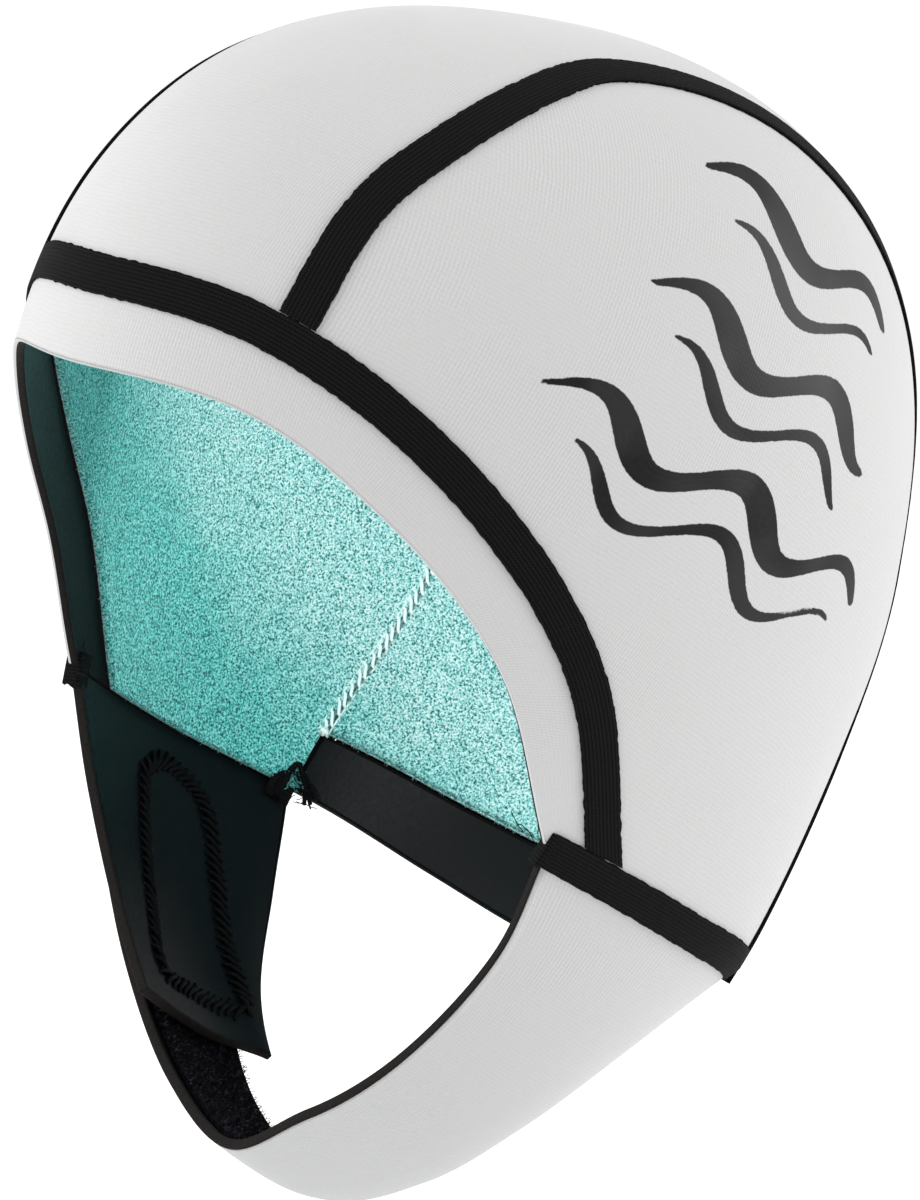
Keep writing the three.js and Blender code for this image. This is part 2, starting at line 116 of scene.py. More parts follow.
def head_point(azimuth, latitude):
    """Point of the head form: the latitude gives the height, and the azimuth the place on the egg of
    that height's section."""
    height = np.where(
        latitude > 0, CROWN_HEIGHT * np.sin(np.radians(latitude)), -NECK_DROP * latitude / NECK_LATITUDE
    )
    width, front, back = head_section(height)
    sine, cosine = np.sin(np.radians(azimuth)), np.cos(np.radians(azimuth))
    reach = (front + back + (front - back) * cosine) / 2
    return np.stack([egg_width(width, sine, cosine), -cosine * reach, height], -1)


def is_inside(points):
    """Whether points lie inside the head form: the section's angle is solved from y, and x is then
    compared with the egg's half width there."""
    x, y, z = np.moveaxis(points, -1, 0)
    width, front, back = head_section(z)
    mean, shift = (front + back) / 2, (front - back) / 2
    root = mean**2 - 4 * shift * y
    cosine = np.clip(-2 * y / np.maximum(mean + np.sqrt(np.maximum(root, 0)), 1e-9), -1, 1)
    sine = np.sqrt(1 - cosine**2)
    return (z < CROWN_HEIGHT) & (root > 0) & (sine > 0) & (np.abs(x) < egg_width(width, sine, cosine))


def on_head(points):
    """Points where the rays from the middle of the head through other points meet the head form,
    found by halving the ray. Slow waves in direction give the cloth its slack."""
    ray = unit(points)
    inside, outside = np.zeros(ray.shape[:-1]), np.full(ray.shape[:-1], FARTHEST)
    for _ in range(HALVINGS):
        middle = (inside + outside) / 2
        within = is_inside(ray * middle[..., None])
        inside, outside = np.where(within, middle, inside), np.where(within, outside, middle)
    x, y, z = np.moveaxis(ray, -1, 0)
    long_waves = np.sin(7 * x + 5 * z + 1) * np.sin(6 * y - 3 * z)
    short_waves = np.sin(11 * y + 9 * z) * np.sin(8 * x - 2)
    return ray * (inside * (1 + SLACK * (long_waves + 0.6 * short_waves)))[..., None]


def head_normal(points):
    """Outward normals of the head form beside points: the cross product of two short steps on it."""
    base = on_head(points)
    axis = np.where(np.abs(base[..., 2:]) > np.abs(base[..., :1]), [1.0, 0, 0], [0, 0, 1.0])
    across = unit(np.cross(axis, base)) * NORMAL_STEP
    along = unit(np.cross(base, across)) * NORMAL_STEP
    slopes = [on_head(base + step) - on_head(base - step) for step in (across, along)]
    return unit(np.cross(*slopes))


def both_sides(rows):
    """Rows from the right side over the middle to the left, from rows that start at the middle."""
    rows = np.asarray(rows, float)
    return np.vstack([rows[:0:-1] * [-1, 1] + [2 * rows[0, 0], 0], rows])


def seam(rows):
    """Curve on the head form through rows of azimuth and latitude, as a function of its share."""
    return lambda share: head_point(*np.moveaxis(run_through(rows, share), -1, 0))


def stretch(curve, start, end):
    """The part of a curve between two of its shares."""
    return lambda share: curve(start + (end - start) * np.asarray(share))


def mirrored(curve):
    """The curve on the other side of the cap."""
    return lambda share: curve(share) * [-1, 1, 1]


def between(near, far, start, finish):
    """Coons patch between four curves: the sum of both blends of opposite curves, less the blend of
    the four corners. near and far run with u, start and finish with v."""

    def patch(u, v):
        s, t = u[..., None], v[..., None]
        zero, one = np.zeros_like(u), np.ones_like(u)
        along = near(u) * (1 - t) + far(u) * t
        across = start(v) * (1 - s) + finish(v) * s
        near_corners = near(zero) * (1 - s) + near(one) * s
        far_corners = far(zero) * (1 - s) + far(one) * s
        return along + across - near_corners * (1 - t) - far_corners * t

    return patch


def grid(cells):
    """Values of u and v from 0 to 1 on a grid of cells."""
    return np.meshgrid(*(np.linspace(0, 1, n + 1) for n in cells), indexing="ij")


def head_cloth(patch, cells):
    """Points and normals of a patch pushed out on to the head form."""
    points = on_head(patch(*grid(cells)))
    return points, head_normal(points)


def grid_faces(rows, columns, first=0):
    """Corner numbers of the cells of a grid whose points are numbered row by row."""
    corner = first + np.arange(rows * columns).reshape(rows, columns)
    return np.stack([corner[:-1, :-1], corner[1:, :-1], corner[1:, 1:], corner[:-1, 1:]], -1).reshape(-1, 4)


def band_faces(one, other):
    """Corner numbers of the cells between two closed rings of points."""
    return np.stack([one, other, np.roll(other, -1), np.roll(one, -1)], -1)


def outwards(points, reach):
    """Directions out of a grid at its outline: each outline point less its neighbour inside, with
    unit length, or less where a part of the step to the neighbour is shorter than the reach."""
    out = np.zeros_like(points)
    rows = [(np.s_[0], np.s_[1]), (np.s_[-1], np.s_[-2])]
    columns = [(np.s_[:, 0], np.s_[:, 1]), (np.s_[:, -1], np.s_[:, -2])]
    for edge, inside in rows + columns:
        step = points[edge] - points[inside]
        length = np.linalg.norm(step, axis=-1, keepdims=True)
        out[edge] += step / length * np.minimum(1, CELL_SHARE * length / reach)
    return out


def wall(points, normals, outer, inner, drawn_in=SEAM_GAP / 2, rounding=CUT_ROUNDING):
    """Closed wall between two depths below a grid: both grids drawn in at the outline, and rings of
    points between them that round the cut edge with quarter circles. Depths may vary over the grid.
    Gives its points, its faces, a number per face for outside 0, upper rounding 1, cut edge 2 and
    inside 3, and for each point the grid point that it stands on."""
    rows, columns = points.shape[:2]
    out = outwards(points, drawn_in + rounding)
    outline = np.concatenate(
        [
            np.arange(columns),
            np.arange(1, rows) * columns + columns - 1,
            (rows - 1) * columns + np.arange(columns - 2, -1, -1),
            np.arange(rows - 2, 0, -1) * columns,
        ]
    )
    outer, inner = (np.broadcast_to(depth, points.shape[:2])[..., None] for depth in (outer, inner))
    own = np.arange(rows * columns)
    layers, sources = [(points - out * (drawn_in + rounding) - normals * outer).reshape(-1, 3)], [own]
    flat = [array.reshape(-1, array.shape[-1])[outline] for array in (points, normals, out, outer, inner)]
    place, normal, outward, upper, lower = flat
    turn = np.linspace(0, np.pi / 2, CUT_RINGS + 1)[1:]
    steps = [(upper + rounding * (1 - np.cos(a)), rounding * (1 - np.sin(a))) for a in turn]
    steps += [(lower - rounding * (1 - np.cos(a)), rounding * (1 - np.sin(a))) for a in turn[::-1]]
    for depth, pulled in steps:
        layers.append(place - outward * (drawn_in + pulled) - normal * depth)
        sources.append(outline)
    layers.append((points - out * (drawn_in + rounding) - normals * inner).reshape(-1, 3))
    sources.append(own)
    faces, parts = [grid_faces(rows, columns)], [np.zeros((rows - 1) * (columns - 1), int)]
    first = rows * columns
    ring = outline
    for number in range(len(steps)):
        following = first + np.arange(len(outline))
        faces.append(band_faces(ring, following))
        parts.append(np.full(len(outline), 1 + int(number >= CUT_RINGS)))
        ring, first = following, first + len(outline)
    faces.append(band_faces(ring, first + outline))
    parts.append(np.full(len(outline), 2))
    faces.append(grid_faces(rows, columns, first)[:, ::-1])
    parts.append(np.full((rows - 1) * (columns - 1), 3))
    return np.concatenate(layers), np.concatenate(faces), np.concatenate(parts), np.concatenate(sources)


def turned_out(points, faces):
    """The faces, all turned round if their signed volume says that they point in."""
    a, b, c, d = (points[faces[:, k]] for k in range(4))
    volume = np.einsum("ij,ij->", a, np.cross(b, c)) + np.einsum("ij,ij->", a, np.cross(c, d))
    return faces if volume > 0 else faces[:, ::-1]


def make_piece(name, points, faces, finishes, parts=None, cloth=None, marks=None):
    """A mesh object from arrays. Points are measured from the middle of the head. cloth gives two
    lengths per point, kept as its UV map, and marks are further values per point by name."""
    faces = turned_out(points, faces)
    mesh = bpy.data.meshes.new(name)
    mesh.from_pydata((points + HEAD_CENTRE).tolist(), [], faces.tolist())
    for finish in finishes:
        mesh.materials.append(finish)
    if parts is not None:
        mesh.polygons.foreach_set("material_index", parts.astype(np.int32))
    mesh.shade_smooth()
    corners = np.zeros(len(mesh.loops), np.int32)
    mesh.loops.foreach_get("vertex_index", corners)
    if cloth is not None:
        layer = mesh.uv_layers.new(name="cloth")
        layer.data.foreach_set("uv", cloth[corners].astype(np.float32).ravel())
    for key, values in (marks or {}).items():
        mesh.attributes.new(key, "FLOAT", "POINT").data.foreach_set("value", values.astype(np.float32))
    piece = bpy.data.objects.new(name, mesh)
    bpy.context.scene.collection.objects.link(piece)
    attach(piece, "root")
    return piece


class Strand:
    """A node's output in a finish. Arithmetic on it adds the Math node that does it."""

    def __init__(self, finish, socket):
        self.finish, self.socket = finish, socket

    def math(self, operation, *others):
        terms = dict(enumerate((self, *others)))
        return self.finish.node("ShaderNodeMath", {"operation": operation}, terms)

    def __add__(self, other):
        return self.math("ADD", other)

    __radd__ = __add__

    def __mul__(self, other):
        return self.math("MULTIPLY", other)

    __rmul__ = __mul__

    def __sub__(self, other):
        return self.math("SUBTRACT", other)

    def __rsub__(self, other):
        return self * -1 + other

    def steps(self, low, high):
        """0 below low and 1 above high, with a smooth step between."""
        return self.finish.node(
            "ShaderNodeMapRange",
            {"interpolation_type": "SMOOTHSTEP"},
            {"Value": self, "From Min": low, "From Max": high},
        )


class Finish:
    """A material: a Principled shader, and nodes that reach it."""

    def __init__(self, name, **uniform):
        self.material = bpy.data.materials.new(name)
        self.material.use_nodes = True
        self.tree = self.material.node_tree
        self.shader = self.tree.nodes["Principled BSDF"]
        for key, value in uniform.items():
            self.put(self.shader.inputs[key.replace("_", " ")], value)

    def put(self, socket, value):
        """Links an output to a socket, or sets a value on it."""
        if isinstance(value, Strand):
            self.tree.links.new(value.socket, socket)
        else:
            socket.default_value = value

    def node(self, kind, settings=None, inputs=None, output=0):
        """A node of a kind: its settings first, then the values or links of its inputs."""
        made = self.tree.nodes.new(kind)
        for key, value in (settings or {}).items():
            setattr(made, key, value)
        for key, value in (inputs or {}).items():
            self.put(made.inputs[key], value)
        return Strand(self, made.outputs[output])

    def mixed(self, share, one, other):
        """Colour between two colours."""
        return self.node("ShaderNodeMix", {"data_type": "RGBA"}, {0: share, 6: one, 7: other}, output=2)

    def place(self):
        return self.node("ShaderNodeTexCoord", output="Object")

    def cloth(self):
        """Both lengths of the cloth's own map."""
        flat = self.node("ShaderNodeUVMap", {"uv_map": "cloth"})
        return [self.node("ShaderNodeSeparateXYZ", None, {0: flat}, output=k) for k in ("X", "Y")]

    def grain(self, size, detail=2.0, roughness=0.5):
        """Noise with lumps of a size, from 0 to 1."""
        inputs = {"Vector": self.place(), "Scale": 1 / size, "Detail": detail, "Roughness": roughness}
        return self.node("ShaderNodeTexNoise", None, inputs)

    def relief(self, height, distance, strength=1.0):
        """The surface's normal, tilted by a height."""
        inputs = {"Height": height, "Distance": distance, "Strength": strength}
        return self.node("ShaderNodeBump", None, inputs)

    def overlay(self, share, top):
        """Lays another shader over the finish's own by a share."""
        own = Strand(self, self.shader.outputs["BSDF"])
        both = self.node("ShaderNodeMixShader", None, {0: share, 1: own, 2: top})
        self.put(self.tree.nodes["Material Output"].inputs["Surface"], both)

    def colour(self, colour):
        """The shader's base colour."""
        self.put(self.shader.inputs["Base Color"], colour)

    def raise_by(self, height, distance, strength=1.0):
        """Relief on the shader's normal."""
        self.put(self.shader.inputs["Normal"], self.relief(height, distance, strength))


JERSEY_RIB, JERSEY_COURSE = 0.00062, 0.0009
JERSEY_PALE, JERSEY_GROOVE = (0.505, 0.505, 0.502, 1), (0.345, 0.345, 0.345, 1)


def jersey_finish(name):
    """Ribbed jersey: a sine across the ribs, broken by a slower one along them and by yarn noise."""
    jersey = Finish(name, Roughness=0.86, Sheen_Weight=0.16, Sheen_Roughness=0.45, Specular_IOR_Level=0.14)
    across, along = jersey.cloth()
    drift = jersey.grain(0.004)
    turn = 2 * np.pi
    rib = (across * (turn / JERSEY_RIB) + drift * 5).math("SINE")
    course = (along * (turn / JERSEY_COURSE) + drift * 9).math("SINE")
    yarn = jersey.grain(0.0005, 3.0, 0.65)
    worn = jersey.grain(0.022, 2.0)
    height = rib * 0.3 * worn.steps(0.3, 0.6) + course * 0.1 + yarn * 0.7
    shade = (height * 0.5 + 0.32).math("MINIMUM", 1).math("MAXIMUM", 0)
    return jersey, height, jersey.mixed(shade, JERSEY_GROOVE, JERSEY_PALE)


jersey, jersey_height, jersey_colour = jersey_finish("jersey")
jersey.colour(jersey_colour)
jersey.raise_by(jersey_height, 0.00012, 0.5)


def speckled_finish(name, size, detail, dark, pale, relief, strength=1.0, **uniform):
    """A finish with fine lumps: dark between them, pale on top, and raised."""
    finish = Finish(name, **uniform)
    lumps = finish.grain(size, detail)
    finish.colour(finish.mixed(lumps, dark, pale))
    finish.raise_by(lumps, relief, strength)
    return finish


FOAM_DARK, FOAM_PALE = (0.002, 0.0018, 0.0016, 1), (0.013, 0.0104, 0.0092, 1)
foam = speckled_finish(
    "cut_neoprene", 0.0006, 3.0, FOAM_DARK, FOAM_PALE, 0.0003, 0.7, Roughness=0.85, Specular_IOR_Level=0.12
)

SKIN_DARK, SKIN_PALE = (0.0004, 0.001, 0.0016, 1), (0.0016, 0.0022, 0.0032, 1)
skin = Finish("smooth_skin", Specular_IOR_Level=0.1)
skin_cloud = skin.grain(0.012, 3.0)
skin_dimples = skin.grain(0.0009, 3.0)
skin.colour(skin.mixed(skin_cloud, SKIN_DARK, SKIN_PALE))
skin.put(skin.shader.inputs["Roughness"], 0.36 + skin_dimples * 0.2)
skin.raise_by(skin_dimples, 0.00015, 0.4)

neck_seam = seam(NECK_SEAM)
face_rows = both_sides([*FACE_SEAM, run_through(NECK_SEAM, np.array(FACE_END))])
face_seam = seam(face_rows)
side_rows = [run_through(face_rows, np.array((1 + FACE_JUNCTION) / 2)), *SIDE_SEAM, NECK_SEAM[-1]]
side_seam = seam(side_rows)
nape_rows = both_sides([*NAPE_SEAM, run_through(side_rows, np.array(NAPE_CORNER))])
nape_seam = seam(nape_rows)

centre_points, centre_normals = head_cloth(
    between(
        mirrored(stretch(side_seam, 0, NAPE_CORNER)),
        stretch(side_seam, 0, NAPE_CORNER),
        stretch(face_seam, (1 - FACE_JUNCTION) / 2, (1 + FACE_JUNCTION) / 2),
        nape_seam,
    ),
    CENTRE_CELLS,
)


def flat_lengths(points):
    """Lengths along both ways of a grid, in metres: steps summed along its middle lines."""
    rows, columns = points.shape[:2]
    along = np.linalg.norm(np.diff(points[:, columns // 2], axis=0), axis=-1)
    across = np.linalg.norm(np.diff(points[rows // 2], axis=0), axis=-1)
    u, v = np.concatenate([[0], np.cumsum(along)]), np.concatenate([[0], np.cumsum(across)])
    return np.stack(np.meshgrid(u, v, indexing="ij"), -1)


def jersey_wall(name, points, normals, cloth, stands_for, finishes, marks=None, rounding=CUT_ROUNDING):
    """A panel or flap of neoprene: its wall, with the cloth's lengths as its map."""
    places, faces, parts, sources = wall(points, normals, 0, SHELL, rounding=rounding)
    values = {key: value.reshape(-1)[sources] for key, value in (marks or {}).items()}
    piece = make_piece(name, places, faces, finishes, parts, cloth.reshape(-1, 2)[sources], values)
    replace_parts(piece, stands_for)
    return piece


WALL_FINISHES = [jersey.material, jersey.material, foam.material, skin.material]
jersey_wall(
    "crown_strip",
    centre_points,
    centre_normals,
    flat_lengths(centre_points)[..., ::-1],
    "centre_panel",
    WALL_FINISHES,
)

# Side panels: one rounded panel over each ear, cut from the same sheet with its ribs leaning
# forward. The wearer's left one carries a screen print of brushed waves in black gloss ink.
SIDE_CROWN = 0.46
PRINTED_CELLS, SIDE_CELLS = (190, 164), (144, 124)
RIB_LEAN = 115
PRINT_ROWS = [
    {"forward": 0.0092, "up": 0.0765, "length": 0.0500, "tilt": 31, "waves": 1.5},
    {"forward": 0.0282, "up": 0.0548, "length": 0.0610, "tilt": 27, "waves": 1.8},
    {"forward": 0.0493, "up": 0.0347, "length": 0.0840, "tilt": 25, "waves": 2.5},
]
PRINT_STROKES = [
    {"below": 0, "brush": 0.0036, "start": 0, "end": 1},
    {"below": 0.0105, "brush": 0.0021, "start": 0.1, "end": 0.92},
]
WAVE_SWING, WAVE_LEAN = 0.0044, 0.0012
PRINT_STEPS = 120
INK_DARK, INK_PALE_AND_SHEEN = (0.0015, 0.0015, 0.0018, 1), (0.02, 0.02, 0.021, 1)

side_patch = between(
    stretch(face_seam, (1 + FACE_JUNCTION) / 2, 1),
    stretch(side_seam, SIDE_CROWN, 1),
    stretch(side_seam, 0, SIDE_CROWN),
    stretch(neck_seam, FACE_END, 1),
)
printed_points, printed_normals = head_cloth(side_patch, PRINTED_CELLS)
side_points, side_normals = head_cloth(side_patch, SIDE_CELLS)


def leaning_lengths(points):
    """Lengths across and along ribs that lean forward, measured on the flat side of the head."""
    lean = np.radians(RIB_LEAN)
    y, z = points[..., 1], points[..., 2]
    return np.stack([y * np.sin(lean) + z * np.cos(lean), z * np.sin(lean) - y * np.cos(lean)], -1)


def brushed_waves(points):
    """Distance outside the nearest brush stroke, less than 0 inside it, and the place across it from
    -1 to 1. A stroke's middle is a sine along a tilted line, with its crests leaning back, and its
    width swells on each downward run and tapers to both ends. Points are measured on the side,
    forward and up."""
    forward, up = -points[..., 1].ravel(), points[..., 2].ravel()
    nearest, across = np.full(forward.shape, 1.0), np.zeros(forward.shape)
    for row, stroke in product(PRINT_ROWS, PRINT_STROKES):
        tilt = np.radians(row["tilt"])
        share = np.linspace(0, 1, PRINT_STEPS)
        t = stroke["start"] + (stroke["end"] - stroke["start"]) * share
        phase = 2 * np.pi * row["waves"] * t
        run = row["length"] * t + WAVE_LEAN * np.sin(phase)
        rise = WAVE_SWING * np.sin(phase) - stroke["below"]
        line_forward = row["forward"] - run * np.cos(tilt) - rise * np.sin(tilt)
        line_up = row["up"] - run * np.sin(tilt) + rise * np.cos(tilt)
        swell = 0.74 - 0.26 * np.cos(phase)
        taper = np.sqrt(np.sin(np.pi * (0.03 + 0.94 * share)))
        width = stroke["brush"] * swell * taper
        gaps = np.hypot(forward[:, None] - line_forward, up[:, None] - line_up) - width
        best = gaps.argmin(1)
        gap = gaps[np.arange(len(best)), best]
        side = np.sign((up - line_up[best]) * np.cos(tilt) + (forward - line_forward[best]) * np.sin(tilt))
        closer = gap < nearest
        across = np.where(closer, side * (1 + gap / width[best]), across)
        nearest = np.minimum(nearest, gap)
    return nearest.reshape(points.shape[:2]), np.clip(across, -1, 1).reshape(points.shape[:2])


printed, printed_height, printed_colour = jersey_finish("printed_jersey")
print_gap = printed.node("ShaderNodeAttribute", {"attribute_name": "print_gap"}, output="Fac")
print_across = printed.node("ShaderNodeAttribute", {"attribute_name": "print_across"}, output="Fac")
ragged = (printed.grain(0.0008, 3.0) - 0.5) * 0.0003
ink = 1 - (print_gap + ragged).steps(-0.00012, 0.00012)
streaks = printed.node(
    "ShaderNodeTexNoise",
    {"noise_dimensions": "1D"},
    {"W": print_across * 2.4, "Scale": 3.0, "Detail": 3.0},
)
# Ink tone: the slow pale patches are painted sheen of the gloss ink, and the streaks across each stroke are
# its dry-brush print.
ink_flow_and_sheen = printed.grain(0.017, 1.0).steps(0.45, 0.65) * 0.5 + streaks.steps(0.4, 0.8) * 0.3
ink_relief = printed.relief(printed_height * 0.25 + ink * 0.4, 0.00012, 0.5)
ink_gloss = printed.node(
    "ShaderNodeBsdfPrincipled",
    None,
    {
        "Base Color": printed.mixed(ink_flow_and_sheen, INK_DARK, INK_PALE_AND_SHEEN),
        "Roughness": 0.3 + streaks * 0.12,
        "Specular IOR Level": 0.16,
        "Normal": ink_relief,
    },
)
printed.colour(printed_colour)
printed.raise_by(printed_height + ink * 0.4, 0.00012, 0.5)
printed.overlay(ink, ink_gloss)

print_gap_values, print_across_values = brushed_waves(printed_points)
jersey_wall(
    "side_left",
    printed_points,
    printed_normals,
    leaning_lengths(printed_points),
    "side_panel_left",
    [printed.material, printed.material, foam.material, skin.material],
    {"print_gap": print_gap_values, "print_across": print_across_values},
)
MIRROR = np.array([-1, 1, 1])
jersey_wall(
    "side_right",
    side_points * MIRROR,
    side_normals * MIRROR,
    leaning_lengths(side_points),
    "side_panel_right",
    WALL_FINISHES,
)

# Face band: one curved strip of the same neoprene from cheek to cheek, black skin side in. Its
# lower edge is left raw and frames the face.
OPENING_EDGE = [[0, 13.7], [28.4, 12.5], [46.7, 3.6], [61.7, -11]]
FACE_CELLS = (300, 16)
BAND_ROUNDING = 0.0007

opening_edge = seam(both_sides([*OPENING_EDGE, NECK_SEAM[0]]))
face_points, face_normals = head_cloth(
    between(
        opening_edge,
        face_seam,
        mirrored(stretch(neck_seam, 0, FACE_END)),
        stretch(neck_seam, 0, FACE_END),
    ),
    FACE_CELLS,
)
jersey_wall(
    "brow_band",
    face_points,
    face_normals,
    flat_lengths(face_points),
    "face_band",
    WALL_FINISHES,
    rounding=BAND_ROUNDING,
)

# Nape band: the short strip under the centre panel at the back of the neck, with the same black
# skin inside and a raw lower edge.
NAPE_EDGE = [[180, -55], [150, -52]]
NAPE_CELLS = (110, 14)

nape_edge = seam(both_sides([*NAPE_EDGE, NECK_SEAM[-1]]))
nape_points, nape_normals = head_cloth(
    between(
        nape_edge,
        nape_seam,
        mirrored(stretch(side_seam, 1, NAPE_CORNER)),
        stretch(side_seam, 1, NAPE_CORNER),
    ),
    NAPE_CELLS,
)
jersey_wall("neck_band", nape_points, nape_normals, flat_lengths(nape_points), "nape_band", WALL_FINISHES)

# Linings: teal fleece glued to the inside of the centre and side panels before they are sewn. Its
# short pile is curled, with painted shade that deepens it towards the front and bottom, near the cheeks,
# and it has grey frayed edges.
PEBBLE = 0.0005
PEBBLE_DEPTH = 0.00024
# Pile palettes: the first is lit with painted light, the second is in painted shade.
LIT_PILE = [(0.008, 0.14, 0.14, 1), (0.3, 0.68, 0.67, 1), (0.84, 0.96, 0.95, 1)]
SHADED_PILE = [(0.001, 0.07, 0.07, 1), (0.045, 0.44, 0.42, 1), (0.3, 0.8, 0.76, 1)]
PAINTED_SHADE_EDGE, PAINTED_LIGHT_START, PAINTED_SHADE_SLOPE = -0.105, -0.058, 0.8
BACKING_DARK, BACKING_PALE = (0.06, 0.1, 0.1, 1), (0.42, 0.5, 0.48, 1)
PILE_DEPTH = SHELL + GAP + PILE
LINING_DRAWN_IN, LINING_ROUNDING = 0.00008, 0.0003
FRINGE_PER_METRE = 3600
FRINGE_LENGTH = 0.0010
FIBRE = 0.00005
NUDGE = 0.005
RUN_SAMPLES = 200

plush = Finish(
    "plush",
    Roughness=0.95,
    Sheen_Weight=0.3,
    Sheen_Roughness=0.5,
    Sheen_Tint=(0.7, 1.0, 0.95, 1),
    Specular_IOR_Level=0.1,
)
curls = plush.grain(PEBBLE, 3.0, 0.6)
drifts = plush.grain(0.016, 2.0)


def pile_colour(deep, middle, tip):
    """Colour of the pile by its curls: deep in the pits and pale on the tips."""
    low = plush.mixed(curls.steps(0.38, 0.47), deep, middle)
    return plush.mixed(curls.steps(0.49, 0.6), low, tip)


# Painted shade: the pile darkens towards the front and the bottom by its place, with a slow random wobble
# in the border.
rearwards, upwards = (
    plush.node("ShaderNodeSeparateXYZ", None, {0: plush.place()}, output=k) for k in ("Y", "Z")
)
painted_light_share = (rearwards + upwards * PAINTED_SHADE_SLOPE + (drifts - 0.5) * 0.03).steps(PAINTED_SHADE_EDGE, PAINTED_LIGHT_START)
plush.colour(plush.mixed(painted_light_share, pile_colour(*SHADED_PILE), pile_colour(*LIT_PILE)))
plush.raise_by(curls, 0.0009, 1.0)

backing = Finish("fleece_backing", Roughness=0.9)
yarn_ends = backing.grain(0.0009, 3.0).steps(0.35, 0.65)
backing.colour(backing.mixed(yarn_ends, BACKING_DARK, BACKING_PALE))


def pebbles(points, seed):
    """Random lumps of the pile: a random height per grid point, smoothed with its neighbours once."""
    lumps = np.random.default_rng(seed).uniform(-1, 1, points.shape[:2])
    lumps[1:-1, 1:-1] = (
        lumps[1:-1, 1:-1] * 2 + lumps[:-2, 1:-1] + lumps[2:, 1:-1] + lumps[1:-1, :-2] + lumps[1:-1, 2:]
    ) / 6
    return PEBBLE_DEPTH * lumps


def lining(name, points, normals, seed, stands_for):
    """A sheet of fleece under a panel, with lumps on its pile side."""
    glued, pile = SHELL + GAP / 4, PILE_DEPTH - pebbles(points, seed)
    places, faces, parts, _ = wall(points, normals, glued, pile, LINING_DRAWN_IN, LINING_ROUNDING)
    piece = make_piece(name, places, faces, [backing.material, plush.material], parts // 2)
    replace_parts(piece, stands_for)


def tube_faces(count, around):
    """Faces of rings of points carried along a path, with rows of cells across both ends."""
    ring = np.arange(count * around).reshape(count, around)
    sides = [band_faces(ring[k], ring[k + 1]) for k in range(count - 1)]
    low = np.arange(around // 2 - 1)
    cap = np.stack([low, low + 1, around - 2 - low, around - 1 - low], -1)
    return np.concatenate([*sides, cap, (count - 1) * around + cap[:, ::-1]])


def threads(name, paths, radius, finish, around=4):
    """Closed tubes round many paths at once: at each point of a path a ring of points square to it."""
    steps = paths.shape[1]
    heading = unit(np.gradient(paths, axis=1))
    helper = np.eye(3)[np.abs(paths[:, -1] - paths[:, 0]).argmin(-1)][:, None]
    side = unit(np.cross(heading, helper))
    lift = np.cross(side, heading)
    turn = 2 * np.pi * np.arange(around) / around
    rings = side[..., None, :] * np.cos(turn)[:, None] + lift[..., None, :] * np.sin(turn)[:, None]
    points = paths[..., None, :] + rings * np.broadcast_to(radius, paths.shape[:2])[..., None, None]
    first = np.arange(len(paths)) * steps * around
    faces = tube_faces(steps, around)[None] + first[:, None, None]
    piece = make_piece(name, points.reshape(-1, 3), faces.reshape(-1, 4), [finish])


def beside(curve, share, side):
    """Points of the head form at a distance to one side of a seam, and their normals."""
    ahead = curve(np.minimum(share + NUDGE, 1)) - curve(np.maximum(share - NUDGE, 0))
    middle = curve(share)
    across = unit(np.cross(head_normal(middle), ahead)) * np.broadcast_to(side, share.shape)[..., None]
    places = on_head(middle + across)
    return places, head_normal(places)


def run_length(curve):
    """Length of a curve, summed over short steps."""
    return np.linalg.norm(np.diff(curve(np.linspace(0, 1, RUN_SAMPLES)), axis=0), axis=-1).sum()


def fringe(curve, side, seed):
    """Fibres at a lining's edge along a seam: each leaves the edge across the seam and bends once,
    in a random direction. side is 1 where the lining lies on the seam's left."""
    draw = np.random.default_rng(seed)
    count = int(run_length(curve) * FRINGE_PER_METRE)
    share = draw.uniform(0.002, 0.998, count)
    inner, normals = beside(curve, share, np.full(count, side * SEAM_GAP))
    outer, _ = beside(curve, share, np.full(count, -side * SEAM_GAP))
    root = inner - normals * (SHELL + GAP + PILE * draw.uniform(0.1, 1, count))[:, None]
    aim = unit(outer - inner) * draw.uniform(0.4, 1.2, (count, 1))
    heading = unit(aim + draw.normal(0, 0.45, (count, 3)))
    bent = unit(heading + draw.normal(0, 0.5, (count, 3)) - normals * 0.3)
    length = FRINGE_LENGTH * draw.uniform(0.4, 1.3, (count, 1)) / 2
    return np.stack([root, root + heading * length, root + (heading + bent) * length], 1)


lining("crown_fleece", centre_points, centre_normals, 3, "centre_lining")
lining("ear_fleece_left", side_points, side_normals, 5, "side_lining_left")
lining("ear_fleece_right", side_points * MIRROR, side_normals * MIRROR, 7, "side_lining_right")

upper_neck_seam = stretch(neck_seam, FACE_END, 1)
fibres = [fringe(face_seam, 1, 21), fringe(nape_seam, -1, 22), fringe(upper_neck_seam, 1, 23)]
fibres.append(fringe(upper_neck_seam, 1, 24) * MIRROR)
threads("fleece_fringe", np.concatenate(fibres), FIBRE, backing.material)

# Seam ladders: each side seam is closed inside by a flat seam of pale thread, whose slanting rungs
# lie on the fleece between two straight rows.
RUNG_PITCH, RUNG_WIDTH, RUNG_SLANT, RUNG_CURL = 0.0022, 0.0027, 0.0022, 0.0004
RUNG_POINTS = 9
SEAM_THREAD = 0.00042
THREAD_LIE = PILE_DEPTH + 0.0004
KNOT_LOOPS, KNOT_POINTS, KNOT_RADIUS = 6, 14, 0.0009
ROW_THREAD, KNOT_THREAD = SEAM_THREAD * 0.5, SEAM_THREAD * 0.6
LADDER_TEAL_SHADE, LADDER_PALE = (0.6, 0.8, 0.78, 1), (0.95, 0.98, 0.97, 1)
THREAD_BITE = 0.0005

# The pale thread's darker teal tone is painted shade, tinted as if by light from the fleece.
pale_thread = speckled_finish(
    "pale_thread", 0.0004, 2.0, LADDER_TEAL_SHADE, LADDER_PALE, 0.0001, Roughness=0.6, Specular_IOR_Level=0.3
)


